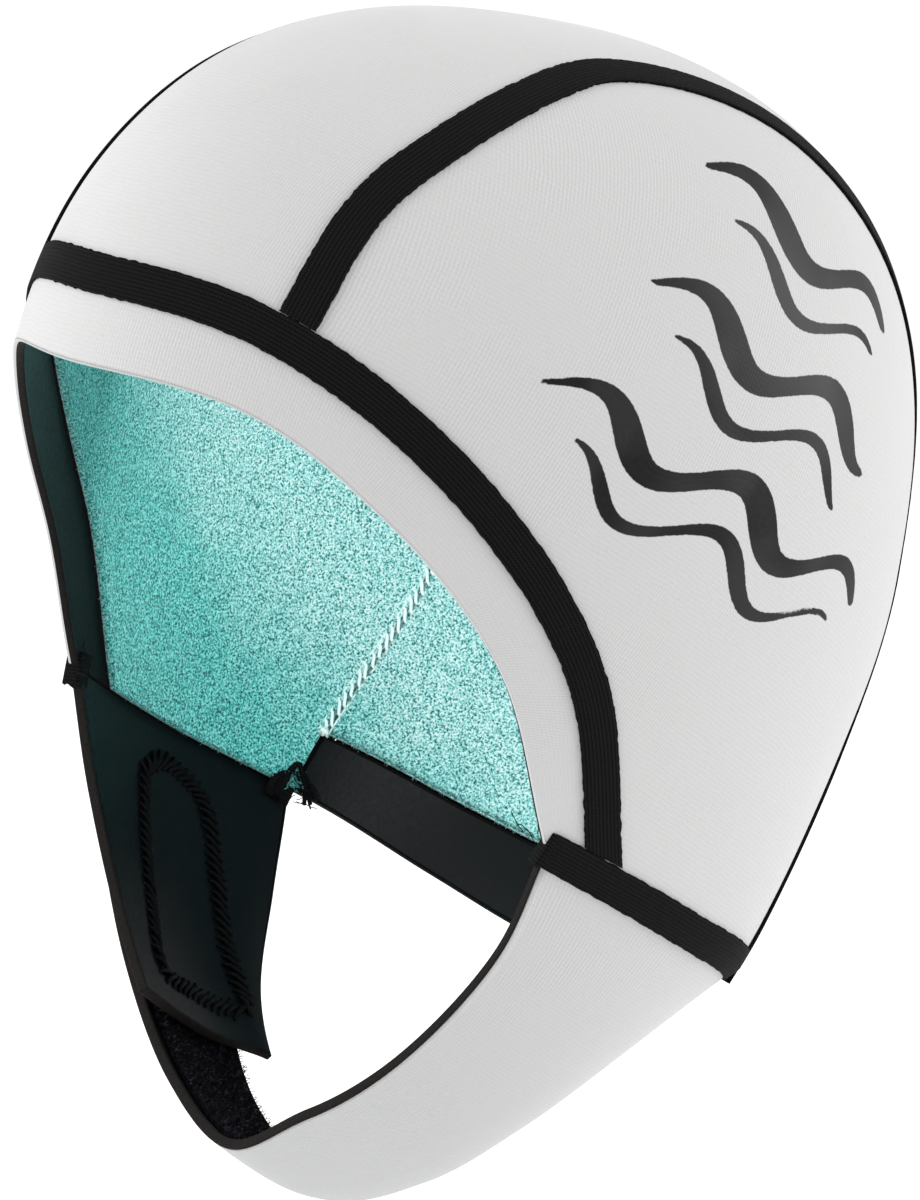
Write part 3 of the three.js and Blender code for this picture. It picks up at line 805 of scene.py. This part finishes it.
def ladder(seed):
    """Rungs over the left side seam: each curls slanting from one side of the seam to the other, and
    its ends bite into the pile. Their spacing and width vary a little at random."""
    draw = np.random.default_rng(seed)
    length = run_length(side_seam)
    count = int(length * NAPE_CORNER / RUNG_PITCH)
    t = np.linspace(-0.5, 0.5, RUNG_POINTS)
    across = t * draw.uniform(0.85, 1.15, (count, 1))
    middle = (np.arange(count)[:, None] + draw.uniform(0.35, 0.65, (count, 1))) / count * NAPE_CORNER
    share = np.clip(middle + (across * RUNG_SLANT + RUNG_CURL * np.sin(2 * np.pi * t)) / length, 0, 1)
    places, normals = beside(side_seam, share, across * RUNG_WIDTH)
    return places - normals * (THREAD_LIE - THREAD_BITE * (2 * np.abs(t)) ** 6)[:, None]


def ladder_rows():
    """The two straight rows beside the rungs, which dip into the pile between them."""
    count = int(run_length(side_seam) / RUNG_PITCH)
    share = np.broadcast_to(np.linspace(0, NAPE_CORNER, count * 4), (2, count * 4))
    places, normals = beside(side_seam, share, np.array([[-0.5], [0.5]]) * RUNG_WIDTH + 0 * share)
    dip = THREAD_BITE * np.sin(np.pi * count * share) ** 2
    return places - normals * (THREAD_LIE - SEAM_THREAD - dip / 2)[..., None]


def ladder_knot(seed):
    """The knot at the ladder's lower end: loops of thread, each a circle in a random plane about a
    random middle."""
    draw = np.random.default_rng(seed)
    knot, normal = beside(side_seam, np.array(NAPE_CORNER), np.array(0.0))
    middle = knot - normal * THREAD_LIE + draw.normal(0, KNOT_RADIUS / 3, (KNOT_LOOPS, 1, 3))
    one = unit(draw.normal(0, 1, (KNOT_LOOPS, 1, 3)))
    other = unit(np.cross(one, draw.normal(0, 1, (KNOT_LOOPS, 1, 3))))
    t = np.linspace(0, 1.8 * np.pi, KNOT_POINTS)[:, None]
    return middle + (one * np.cos(t) + other * np.sin(t)) * KNOT_RADIUS


rung_radius = SEAM_THREAD * (0.7 + 0.3 * np.cos(np.pi * np.linspace(-0.5, 0.5, RUNG_POINTS)))
for side_name, mirror, seed in (("left", np.ones(3), 25), ("right", MIRROR, 27)):
    sewn = [
        ("rungs", ladder(seed), rung_radius),
        ("rows", ladder_rows(), ROW_THREAD),
        ("knot", ladder_knot(seed + 1), KNOT_THREAD),
    ]
    for part_name, paths, radius in sewn:
        name = f"seam_{part_name}_{side_name}"
        threads(name, paths * mirror, radius, pale_thread.material, 6)

# Chin flaps: both are cut from the same neoprene and meet under the jaw. The long one starts at
# the wearer's left ear and laps over the short one, and their edges are left raw.
CHIN_DROP, STRAP_CROWN = 0.1465, 0.0025
FAR_SEAM = 2
SHORT_FLAP_END, LONG_FLAP_END = 0.62, 0.3
LAP_MARGIN, LAP_START, LAP_FULL = 0.17, 0.75, 1.34
PATCH_THICKNESS = 0.0008
LAP_RISE = SHELL + 2 * PATCH_THICKNESS + 3 * GAP
SEAM_TURN = 0.08
STRAP_FRONT = [[0.713, 0.279, 0.517], [0.498, 0.288, 0.69], [0.258, 0.307, 0.813], [0, 0.316, 0.881]]
STRAP_REAR = [[0.635, -0.209, 0.677], [0.47, -0.097, 0.812], [0.252, -0.051, 0.932], [0, -0.033, 0.993]]
LONG_CELLS, SHORT_CELLS = (250, 30), (96, 36)


def strap_edge(seam_end, rows):
    """Edge of the strap from the left neck seam to the right one, through rows of shares of the half
    width, the front reach and the chin drop."""
    half = np.vstack([seam_end, np.asarray(rows) * [HALF_WIDTH, -FRONT_REACH, -CHIN_DROP]])
    knots = np.vstack([half, half[-2::-1] * MIRROR])
    return lambda share: run_through(knots, share)


flat_strap = between(
    strap_edge(neck_seam(np.array(0.0)), STRAP_FRONT),
    strap_edge(neck_seam(np.array(1.0)), STRAP_REAR),
    neck_seam,
    mirrored(neck_seam),
)


def smooth_step(value, low, high):
    """0 below low and 1 above high, with a cubic between."""
    t = np.clip((value - low) / (high - low), 0, 1)
    return t * t * (3 - 2 * t)


def strap_normal(u, v):
    """Outward normals of the strap, which turn into the head form's at the neck seam."""
    ahead, behind = np.minimum(u + NUDGE, 1), np.maximum(u - NUDGE, 0)
    above, below = np.minimum(v + NUDGE, 1), np.maximum(v - NUDGE, 0)
    slope = unit(
        np.cross(flat_strap(ahead, v) - flat_strap(behind, v), flat_strap(u, above) - flat_strap(u, below))
    )
    turned = smooth_step(u, 0, SEAM_TURN)[..., None]
    return unit(seam_normals(v) * (1 - turned) + slope * turned)


SEAM_SAMPLES = np.linspace(0, 1, 81)
SEAM_NORMALS = head_normal(neck_seam(SEAM_SAMPLES))


def seam_normals(v):
    """Normals of the head form along the neck seam, read between samples."""
    return unit(np.stack([np.interp(v, SEAM_SAMPLES, SEAM_NORMALS[:, k]) for k in range(3)], -1))


def strap_point(u, v):
    """Points of the strap, which is crowned by half a sine across its width."""
    crown = STRAP_CROWN * np.sin(np.pi * u) * np.sin(np.pi * v)
    return flat_strap(u, v) + strap_normal(u, v) * crown[..., None]


def strap_cloth(start, end, margins, lap, share, side):
    """Points and normals of the strap between two places of its half length, at shares of the way
    and of the width left by the margins. Where it laps over the other flap it is raised and
    narrowed."""
    place = start + (end - start) * share
    lapped = lap * smooth_step(place, LAP_START, LAP_FULL)
    margin = margins[0] + (margins[1] - margins[0]) * share
    inset = margin + LAP_MARGIN * (1 - 2 * margin) * lapped
    v = inset + (1 - 2 * inset) * side
    normals = strap_normal(place / FAR_SEAM, v)
    return strap_point(place / FAR_SEAM, v) + normals * (LAP_RISE * lapped)[..., None], normals


FLAP_FINISHES = [jersey.material, foam.material, foam.material, skin.material]
long_points, long_normals = strap_cloth(0, FAR_SEAM - LONG_FLAP_END, (0, 0), 1, *grid(LONG_CELLS))
jersey_wall(
    "long_flap",
    long_points,
    long_normals,
    flat_lengths(long_points)[..., ::-1],
    "chin_flap_left",
    FLAP_FINISHES,
)
short_points, short_normals = (
    part * MIRROR for part in strap_cloth(0, SHORT_FLAP_END, (0, 0), 0, *grid(SHORT_CELLS))
)
jersey_wall(
    "short_flap",
    short_points,
    short_normals,
    flat_lengths(short_points)[..., ::-1],
    "chin_flap_right",
    FLAP_FINISHES,
)

# Hook patch: moulded black hooks on the outside of the short flap. A thick overlocked row of black
# thread holds it all round, and shows as a rope on the inside of the flap.
HOOK_START, HOOK_END, HOOK_MARGINS = 0.12, 0.54, (0.33, 0.2)
HOOK_CELLS = (60, 34)
HOOK_ROWS, HOOK_COLUMNS = 40, 22
HOOK_SHAPE = np.array([[0, -0.1], [0, 0.5], [0.04, 0.8], [0.22, 0.98], [0.42, 0.8]]) * 0.001
HOOK_WIRE = 0.00011
ROPE_ROWS = np.array(
    [[0.535, 0.22], [0.4, 0.25], [0.25, 0.28], [0.13, 0.32], [0.09, 0.43], [0.115, 0.57]]
    + [[0.17, 0.63], [0.28, 0.67], [0.4, 0.72], [0.525, 0.83], [0.548, 0.64], [0.545, 0.43], [0.535, 0.22]]
)
ROPE_PITCH, ROPE_WIDTH, ROPE_SLANT, ROPE_HEIGHT = 0.0021, 0.0046, 0.0036, 0.0007
ROPE_THREAD = 0.0006
ROPE_POINTS, ROPE_SAMPLES = 9, 400
ROPE_NUDGE, ROPE_CURL = 0.002, 0.0004
HOOK_ROUNDING = 0.0002

HOOK_DARK, HOOK_PALE = (0.0015, 0.0015, 0.002, 1), (0.012, 0.012, 0.013, 1)
hooks = speckled_finish(
    "hook_tape", 0.0006, 2.0, HOOK_DARK, HOOK_PALE, 0.0006, Roughness=0.55, Specular_IOR_Level=0.1
)

hook_points, hook_normals = (
    part * MIRROR for part in strap_cloth(HOOK_START, HOOK_END, HOOK_MARGINS, 0, *grid(HOOK_CELLS))
)


def fastener(name, points, normals, outer, inner, rounding, finish, stands_for):
    """A patch of fastener tape: a wall between two depths below the outside of a flap."""
    places, faces, _, _ = wall(points, normals, outer, inner, rounding=rounding)
    piece = make_piece(name, places, faces, [finish.material])
    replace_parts(piece, stands_for)


fastener(
    "hook_square",
    hook_points,
    hook_normals,
    -PATCH_THICKNESS - GAP,
    -GAP / 4,
    HOOK_ROUNDING,
    hooks,
    "hook_patch",
)
row, column = np.meshgrid(
    np.linspace(0.02, 0.98, HOOK_ROWS), np.linspace(0.03, 0.97, HOOK_COLUMNS), indexing="ij"
)
stems, stem_normals = (
    part.reshape(-1, 3) for part in strap_cloth(HOOK_START, HOOK_END, HOOK_MARGINS, 0, row, column)
)
bends = unit(np.cross(stem_normals, np.random.default_rng(31).normal(0, 1, stems.shape)))
hook_paths = (
    stems[:, None]
    + stem_normals[:, None] * (PATCH_THICKNESS + GAP + HOOK_SHAPE[:, 1])[:, None]
    + bends[:, None] * HOOK_SHAPE[:, 0][:, None]
)
threads("hook_rows", hook_paths * MIRROR, HOOK_WIRE, hooks.material)

THREAD_DARK, THREAD_PALE = (0.0004, 0.0004, 0.0006, 1), (0.0035, 0.0035, 0.0045, 1)
black_thread = speckled_finish(
    "black_thread", 0.0005, 2.0, THREAD_DARK, THREAD_PALE, 0.0002, Roughness=0.6, Specular_IOR_Level=0.06
)


def rope_line(share):
    """Place and share of the width along the closed line of the row."""
    place, v = np.moveaxis(run_through(ROPE_ROWS, share % 1, (ROPE_ROWS[-2], ROPE_ROWS[1])), -1, 0)
    return place / FAR_SEAM, v


def rope():
    """Slanting loops along a closed line on the inside of the flap: each crosses the line from one
    side to the other, arched over its neighbour."""
    samples = np.linspace(0, 1, ROPE_SAMPLES)
    steps = np.linalg.norm(np.diff(strap_point(*rope_line(samples)), axis=0), axis=-1)
    travelled = np.concatenate([[0], np.cumsum(steps)])
    count = int(travelled[-1] / ROPE_PITCH)
    share = np.interp((np.arange(count) + 0.5) / count * travelled[-1], travelled, samples)
    centre, normal = strap_point(*rope_line(share)), strap_normal(*rope_line(share))
    before, after = rope_line(share - ROPE_NUDGE), rope_line(share + ROPE_NUDGE)
    ahead = unit(strap_point(*after) - strap_point(*before))
    across = np.cross(normal, ahead)
    draw = np.random.default_rng(32)
    t = np.linspace(-0.5, 0.5, ROPE_POINTS)
    spread = t * draw.uniform(0.85, 1.15, (count, 1))
    height = ROPE_HEIGHT * np.cos(np.pi * t) * draw.uniform(0.7, 1.3, (count, 1))
    paths = (
        centre[:, None]
        + across[:, None] * (spread * ROPE_WIDTH)[..., None]
        + ahead[:, None] * (spread * ROPE_SLANT + ROPE_CURL * np.sin(2 * np.pi * t))[..., None]
        - normal[:, None] * (SHELL + height)[..., None]
    )
    return paths, ROPE_THREAD * (0.55 + 0.45 * np.cos(np.pi * t)) + 0 * spread


rope_paths, rope_radius = rope()
threads("patch_stitches", rope_paths * MIRROR, rope_radius, black_thread.material, 6)

# Loop patch: brushed black loop tape over the inside of the long flap's end, sewn to it. Its loops
# stand up as a dark lint.
LOOP_START, LOOP_INSET, LOOP_MARGINS = 1, 0.03, (0.06, 0.06)
LOOP_CELLS = (110, 44)
LINT_COUNT, LINT_STEP, LINT_POINTS = 3200, 0.0005, 4
LINT_FIBRE, LINT_SUNK = FIBRE * 1.3, 0.0001
LOOP_ROUNDING = 0.0003
LOOP_DARK, LOOP_PALE = (0.0004, 0.0004, 0.0006, 1), (0.008, 0.006, 0.009, 1)
LINT_PALE = (0.06, 0.048, 0.07, 1)

loops = Finish("loop_tape", Roughness=0.95, Specular_IOR_Level=0.05)
loop_lint = loops.grain(0.0007, 3.0, 0.6)
loops.colour(loops.mixed(loop_lint.steps(0.4, 0.7), LOOP_DARK, LOOP_PALE))
loops.raise_by(loop_lint, 0.001)

loop_reach = (LOOP_START, FAR_SEAM - LONG_FLAP_END - LOOP_INSET, LOOP_MARGINS, 1)
loop_points, loop_normals = strap_cloth(*loop_reach, *grid(LOOP_CELLS))
fastener(
    "loop_pad",
    loop_points,
    loop_normals,
    SHELL + GAP / 4,
    SHELL + GAP + PATCH_THICKNESS,
    LOOP_ROUNDING,
    loops,
    "loop_patch",
)

draw = np.random.default_rng(41)
lint_roots, lint_normals = strap_cloth(*loop_reach, *draw.uniform(0.002, 0.998, (2, LINT_COUNT)))
lint_steps = unit(draw.normal(0, 0.7, (LINT_COUNT, LINT_POINTS, 3)) - lint_normals[:, None]) * LINT_STEP
lint_steps[:, 0] = -lint_normals * (SHELL + GAP + PATCH_THICKNESS - LINT_SUNK)
lint_paths = lint_roots[:, None] + np.cumsum(lint_steps, 1)
lint = Finish("lint", Roughness=0.9, Specular_IOR_Level=0.05)
lint_clumps = lint.grain(0.0012, 2.0).steps(0.45, 0.7)
lint.colour(lint.mixed(lint_clumps, LOOP_DARK, LINT_PALE))
threads("loop_lint", lint_paths, LINT_FIBRE, lint.material)

# Tapes: black woven tape, 7.5 mm wide, glued over every seam outside. The tapes round the side
# panels and the nape end against the others, and the one over each neck seam lies on top.
TAPE_WIDTH = 0.0075
TAPE_FOOT, TAPE_TOP = 0.0001, 0.00075
TAPE_ROUNDING = 0.00025
TAPE_STEP = 0.0005
TAPE_ROUGHNESS = 0.00009
TRIM_SAMPLES, CROSSING_SAMPLES = 240, 400
TAPE_RIB = 0.00075
WEB_DARK, WEB_PALE = (0.001, 0.001, 0.0011, 1), (0.009, 0.0085, 0.009, 1)

webbing = Finish("webbing", Roughness=0.85, Specular_IOR_Level=0.07)
tape_along, tape_across = webbing.cloth()
warp = (tape_across * (2 * np.pi / TAPE_RIB)).math("SINE")
weft = (tape_along * (2 * np.pi / (TAPE_RIB * 0.8)) + warp * 1.5).math("SINE")
yarns = webbing.grain(0.0005, 3.0, 0.6)
weave = warp * 0.35 + weft * 0.25 + yarns * 0.6
webbing.colour(webbing.mixed((weave * 0.6 + 0.25).steps(0.1, 0.95), WEB_DARK, WEB_PALE))
webbing.raise_by(weave, 0.00025, 0.7)


def tape_profile(width, low, high):
    """Closed outline of a tape's section as rows of side and height: flat on top, with quarter
    circles at its upper corners."""
    half = width / 2
    turn = np.linspace(0, np.pi / 2, 3)
    corner = [half, high] - TAPE_ROUNDING * (1 - np.stack([np.sin(turn), np.cos(turn)], -1))
    right = np.vstack([[[half / 2, high]], corner, [[half, low]]])
    return np.vstack([[[0, high]], right, [[0, low]], right[::-1] * [-1, 1]])


def ragged(profile, count, seed):
    """Sides of a tape's section at each step along it: the width grows and shrinks a little, by
    smoothed random steps."""
    steps = np.random.default_rng(seed).normal(0, TAPE_ROUGHNESS, count)
    rough = np.convolve(steps, [0.2, 0.6, 0.2], "same")
    side = profile[:, 0]
    return side + rough[:, None] * np.sign(side) * (np.abs(side) > TAPE_WIDTH / 3)


def end_share(curve, side, near_end, crossing):
    """First share of a seam, going in from one of its ends, at which its parallel is clear of the
    tape on the seam that crosses that end."""
    share = near_end + (0.5 - near_end) * np.linspace(0, 0.4, TRIM_SAMPLES)
    places, _ = beside(curve, share, side)
    other = crossing(np.linspace(0, 1, CROSSING_SAMPLES))
    gap = np.linalg.norm(places[:, None] - other[None], axis=-1).min(1)
    return share[np.argmax(gap > TAPE_WIDTH / 2 + GAP / 4)]


def lay_tape(name, points, side):
    """A tape from the rings of its section, with lengths along and across it as its map."""
    length = np.concatenate([[0], np.cumsum(np.linalg.norm(np.diff(points[:, 0], axis=0), axis=-1))])
    cloth = np.stack(np.broadcast_arrays(length[:, None], side), -1)
    faces = tube_faces(*points.shape[:2])
    piece = make_piece(name, points.reshape(-1, 3), faces, [webbing.material], None, cloth.reshape(-1, 2))
    return piece


TAPE_PROFILE = tape_profile(TAPE_WIDTH, TAPE_FOOT, TAPE_TOP)


def tape_on_head(name, curve, crossings, seed, stands_for):
    """A tape on the head form along a seam. Each point of its section runs along its own parallel of
    the seam, between the shares that clear the tapes across its ends."""
    starts, finishes = (
        [end_share(curve, side, *end) for side in TAPE_PROFILE[:, 0]] for end in enumerate(crossings)
    )
    count = int(run_length(curve) / TAPE_STEP)
    line = np.linspace(0, 1, count)[:, None]
    share = np.array(starts) * (1 - line) + np.array(finishes) * line
    side = ragged(TAPE_PROFILE, count, seed)
    places, normals = beside(curve, share, side)
    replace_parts(lay_tape(name, places + normals * TAPE_PROFILE[:, 1:], side), stands_for)


right_neck, right_side = mirrored(neck_seam), mirrored(side_seam)
tape_on_head("brow_tape", face_seam, (right_neck, neck_seam), 11, "face_tape")
tape_on_head("neck_band_tape", nape_seam, (right_side, side_seam), 12, "nape_tape")
tape_on_head("ear_tape_left", side_seam, (face_seam, neck_seam), 13, "side_tape_left")
tape_on_head("ear_tape_right", right_side, (face_seam, right_neck), 14, "side_tape_right")


def neck_tape(name, mirror, seed, stands_for):
    """The tape over a neck seam: its upper half lies on the head form and its lower half on the flap."""
    count = int(run_length(neck_seam) / TAPE_STEP)
    side = ragged(TAPE_PROFILE, count, seed)
    share = np.broadcast_to(np.linspace(0, 1, count)[:, None], side.shape)
    upper, upper_normals = beside(neck_seam, share, np.maximum(side, 0))
    step = strap_point(np.full(share.shape, NUDGE), share) - neck_seam(share)
    speed = np.linalg.norm(step, axis=-1) / NUDGE
    u = np.maximum(-side, 0) / speed
    on_top = (side >= 0)[..., None]
    surface = np.where(on_top, upper, strap_point(u, share))
    normals = np.where(on_top, upper_normals, strap_normal(u, share))
    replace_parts(lay_tape(name, (surface + normals * TAPE_PROFILE[:, 1:]) * mirror, side), stands_for)


neck_tape("nape_tape_left", np.ones(3), 15, "neck_tape_left")
neck_tape("nape_tape_right", MIRROR, 16, "neck_tape_right")

# Tape ends: both ends of each neck tape are turned round the cut edges and tacked down inside. At
# the nape a rolled strand of tape stands over the corner with frayed threads and a tuft of fleece.
FOLD_LENGTHS, FOLD_COVER, FOLD_REACHES = (0.003, 0.008), 0.0006, (0.0002, 0.0008)
FOLD_DEPTHS = (SHELL + 0.0002, PILE_DEPTH + 0.0002)
FOLD_THICKNESS = 0.0005
FOLD_CREASES = (0.0001, 0.0005)
OUTSIDE_POINTS, ROUND_POINTS, INSIDE_POINTS = 5, 13, 12
ARCH_HALF, ARCH_RISE, ARCH_FOOT, ARCH_CORD = 0.003, 0.0058, 1.3, 0.0005
ARCH_STRANDS, ARCH_POINTS, ARCH_SPREAD, ARCH_WOBBLE = 3, 15, 0.0008, 0.00018
FRAY_COUNT, FRAY_LENGTH, FRAY_THREAD, FRAY_POINTS = 9, 0.0065, 0.00022, 7
FRAY_DEPTH, FRAY_SPREAD = 0.0012, 0.0005
LOOSE_COUNT, LOOSE_STEP, LOOSE_POINTS, LOOSE_THREAD = 5, 0.0006, 10, 0.0001
LOOSE_SPREAD, TUFT_SPREAD = 0.0017, 0.0009
TUFT_COUNT, TUFT_LENGTH, TUFT_FIBRE = 240, 0.0015, FIBRE * 1.4
FOLD_PROFILE = tape_profile(TAPE_WIDTH * 0.95, 0, FOLD_THICKNESS)


def turned_end(name, end, mirror, seed):
    """A tape's end in three stretches: along the outside of the seam to its end, half round the cut
    edge in an ellipse, and back along the inside. A slow random ripple creases it."""
    inwards = 1 - 2 * end
    length = run_length(neck_seam)
    outside = end + inwards * FOLD_COVER / length * np.linspace(1, 0, OUTSIDE_POINTS)
    inside = end + inwards * FOLD_LENGTHS[end] / length * np.linspace(0, 1, INSIDE_POINTS)
    top, bottom = GAP + TAPE_FOOT, -FOLD_DEPTHS[end]
    tip = neck_seam(np.array(float(end)))
    normal = head_normal(tip)
    ahead = unit(tip - neck_seam(np.array(end + inwards * 0.02)))
    angle = np.linspace(0, np.pi, ROUND_POINTS)[1:-1, None]
    round_edge = (
        tip
        + ahead * (FOLD_REACHES[end] * np.sin(angle) ** 0.7)
        + normal * ((top + bottom) / 2 + (top - bottom) / 2 * np.cos(angle))
    )
    middle = np.concatenate(
        [
            neck_seam(outside) + head_normal(neck_seam(outside)) * top,
            round_edge,
            neck_seam(inside) + head_normal(neck_seam(inside)) * bottom,
        ]
    )
    across = unit(np.cross(normal, ahead))
    lift = unit(np.cross(across, np.gradient(middle, axis=0))) * -inwards
    draw = np.random.default_rng(seed)
    along = np.linspace(0, 1, len(middle))[:, None]
    side, height = FOLD_PROFILE.T
    ripple = FOLD_CREASES[end] * along**2 * np.sin(9 * along + side * 500 + draw.uniform(0, 6))
    points = middle[:, None] + across * side[:, None] + lift[:, None] * (height + ripple)[..., None]
    lay_tape(name, points * mirror, np.broadcast_to(side, points.shape[:2]))


def loose_threads(end, mirror, seed):
    """Curled threads that leave a corner inside: the heading of each takes random turns, smoothed
    along its length."""
    draw = np.random.default_rng(seed)
    tip = neck_seam(np.array(float(end)))
    normal = head_normal(tip)
    start = tip - normal * PILE_DEPTH + draw.normal(0, LOOSE_SPREAD, (LOOSE_COUNT, 3))
    bends = np.cumsum(draw.normal(0, 0.45, (LOOSE_COUNT, LOOSE_POINTS, 3)), 1)
    turns = draw.normal(0, 1, (LOOSE_COUNT, 1, 3)) + bends
    return (start[:, None] + np.cumsum(unit(turns - normal * 0.4) * LOOSE_STEP, 1)) * mirror


def nape_tip():
    """The corner at the nape on the head form, its normal and the level way along it to the rear."""
    tip = neck_seam(np.array(1.0))
    normal = head_normal(tip)
    return tip, normal, unit(np.cross(normal, [0, 0, 1]))


def tuft(mirror, seed):
    """Short fibres over the corner at the nape, which leave it in all directions inwards."""
    draw = np.random.default_rng(seed)
    tip, normal, _ = nape_tip()
    middle = tip - normal * PILE_DEPTH + np.array([0, 0, ARCH_RISE * 0.35])
    root = middle + draw.normal(0, TUFT_SPREAD, (TUFT_COUNT, 3))
    heading = unit(draw.normal(0, 0.7, (TUFT_COUNT, 3)) - normal * 0.6)
    bent = unit(heading + draw.normal(0, 0.5, (TUFT_COUNT, 3)))
    length = TUFT_LENGTH / 2 * draw.uniform(0.4, 1, (TUFT_COUNT, 1))
    return np.stack([root, root + heading * length, root + (heading + bent) * length], 1) * mirror


def corner_arch(mirror, seed):
    """Strands of rolled tape that stand over the corner at the nape: a power curve of the distance
    from its middle, each with its own width and height and a random wobble."""
    draw = np.random.default_rng(seed)
    tip, normal, level_way = nape_tip()
    t = np.linspace(-ARCH_FOOT, ARCH_FOOT, ARCH_POINTS)[:, None]
    half = ARCH_HALF * draw.uniform(0.8, 1.15, (ARCH_STRANDS, 1, 1))
    rise = draw.uniform(0.85, 1.1, (ARCH_STRANDS, 1, 1))
    arch = level_way * half * t + np.array([0, 0, ARCH_RISE]) * rise * (1 - np.abs(t) ** 1.6)
    depth = PILE_DEPTH + ARCH_CORD + draw.uniform(0, ARCH_SPREAD, (ARCH_STRANDS, 1, 1))
    wobble = draw.normal(0, ARCH_WOBBLE, (ARCH_STRANDS, ARCH_POINTS, 3))
    return (tip + arch - normal * depth + wobble) * mirror


def frayed_end(mirror, seed):
    """Stiff threads that fan out from the arch over the end of the nape band: each is straight at
    first and bends down."""
    draw = np.random.default_rng(seed)
    tip, normal, level_way = nape_tip()
    middle = tip - normal * (PILE_DEPTH + FRAY_DEPTH) + np.array([0, 0, ARCH_RISE * 0.6])
    root = middle + draw.normal(0, FRAY_SPREAD, (FRAY_COUNT, 3))
    fan = draw.uniform(0.35, 1.2, (FRAY_COUNT, 1))
    aim = draw.normal(0, 0.2, (FRAY_COUNT, 3)) - level_way * fan
    heading = unit(aim - np.array([0, 0, 0.25]))
    t = np.linspace(0, 1, FRAY_POINTS)[:, None]
    reach = FRAY_LENGTH * draw.uniform(0.5, 1, (FRAY_COUNT, 1, 1))
    drop = np.array([0, 0, -0.6]) * draw.uniform(0.5, 1.2, (FRAY_COUNT, 1, 1))
    return (root[:, None] + (heading[:, None] * t + drop * t**2) * reach) * mirror


corners = [("left", np.ones(3), 51), ("right", MIRROR, 61)]
for side_name, mirror, seed in corners:
    turned_end(f"cheek_end_{side_name}", 0, mirror, seed)
    turned_end(f"nape_end_{side_name}", 1, mirror, seed + 1)
loose = [loose_threads(end, mirror, seed + 2 + end) for _, mirror, seed in corners for end in (0, 1)]
threads("loose_threads", np.concatenate(loose), LOOSE_THREAD, black_thread.material)
arches = [corner_arch(mirror, seed + 5) for _, mirror, seed in corners]
threads("corner_arches", np.concatenate(arches), ARCH_CORD, black_thread.material, 8)
frays = [frayed_end(mirror, seed + 6) for _, mirror, seed in corners]
threads("frayed_ends", np.concatenate(frays), FRAY_THREAD, black_thread.material, 6)
tufts = [tuft(mirror, seed + 4) for _, mirror, seed in corners]
threads("corner_tufts", np.concatenate(tufts), TUFT_FIBRE, plush.material)

# Floor: a wide pale sheet a little way below the cap, which is held up as a head holds it.
FLOOR_DROP = 0.03
FLOOR_RADIUS = 6.0
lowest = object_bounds()[0].z - FLOOR_DROP
floor_mesh = bpy.data.meshes.new("floor")
floor_mesh.from_pydata(
    [(x * FLOOR_RADIUS, y * FLOOR_RADIUS, lowest) for x, y in ((-1, -1), (1, -1), (1, 1), (-1, 1))],
    [],
    [(0, 1, 2, 3)],
)
paper = Finish("paper", Base_Color=(0.95, 0.95, 0.95, 1), Roughness=1.0, Specular_IOR_Level=0.0)
floor_mesh.materials.append(paper.material)
floor = bpy.data.objects.new("floor", floor_mesh)
bpy.context.scene.collection.objects.link(floor)

# Light: a bright even studio, with one large soft lamp at the camera's left and one at its right,
# so that the middle of the cap is a little darker than both sides. A small one lights the lining.
AZIMUTH, ELEVATION, ROLL = np.radians([43.155, 7.596, 9.977])
level = np.array([np.cos(AZIMUTH), np.sin(AZIMUTH), 0])
back = np.array(
    [np.sin(AZIMUTH) * np.cos(ELEVATION), -np.cos(AZIMUTH) * np.cos(ELEVATION), np.sin(ELEVATION)]
)
world = bpy.data.worlds.new("studio")
bpy.context.scene.world = world
world.use_nodes = True
world.node_tree.nodes["Background"].inputs["Color"].default_value = (1, 1, 1, 1)
world.node_tree.nodes["Background"].inputs["Strength"].default_value = 1.07
bpy.context.scene.view_settings.view_transform = "Standard"


def soft_lamp(name, place, aim, size, power):
    """A square lamp at a place, turned to face another. The camera doesn't see it."""
    light = bpy.data.lights.new(name, "AREA")
    light.size, light.energy = size, power
    lamp = bpy.data.objects.new(name, light)
    lamp.location = HEAD_CENTRE + place
    lamp.rotation_euler = Vector(aim - place).to_track_quat("-Z", "Y").to_euler()
    lamp.visible_camera = False
    bpy.context.scene.collection.objects.link(lamp)


LEFT_PLACE = back * 0.35 - level * 1.25 + np.array([0, 0, 0.5])
RIGHT_PLACE = back * 0.05 + level * 1.25 + np.array([0, 0, 0.6])
soft_lamp("left_box", LEFT_PLACE, aim=np.zeros(3), size=0.9, power=15)
soft_lamp("right_box", RIGHT_PLACE, aim=np.zeros(3), size=0.9, power=13)
INNER_PLACE, INNER_AIM = back * 0.03 - level * 0.025, level * 0.08 - back * 0.07
soft_lamp("inner_lamp", INNER_PLACE, aim=INNER_AIM, size=0.07, power=0.13)

# Camera: at the photograph's angle, off centre by the shift that frames the cap as it does.
DISTANCE = 0.8
PIXELS_PER_METRE = 4989.7
IMAGE = (920, 1200)
AXIS_PIXEL = (450.73, 500.38)
upright = np.cross(back, level)
right = np.cos(ROLL) * level + np.sin(ROLL) * upright
top = np.cos(ROLL) * upright - np.sin(ROLL) * level
lens = bpy.data.cameras.new("camera")
camera = bpy.data.objects.new("camera", lens)
bpy.context.scene.collection.objects.link(camera)
turned = Matrix(np.stack([right, top, back], 1)).to_4x4()
camera.matrix_world = Matrix.Translation(HEAD_CENTRE + back * DISTANCE) @ turned
lens.sensor_fit = "VERTICAL"
lens.lens = lens.sensor_height * PIXELS_PER_METRE * DISTANCE / IMAGE[1]
lens.shift_x = (IMAGE[0] / 2 - AXIS_PIXEL[0]) / IMAGE[1]
lens.shift_y = (AXIS_PIXEL[1] - IMAGE[1] / 2) / IMAGE[1]
bpy.context.scene.camera = camera

bpy.context.view_layer.update()
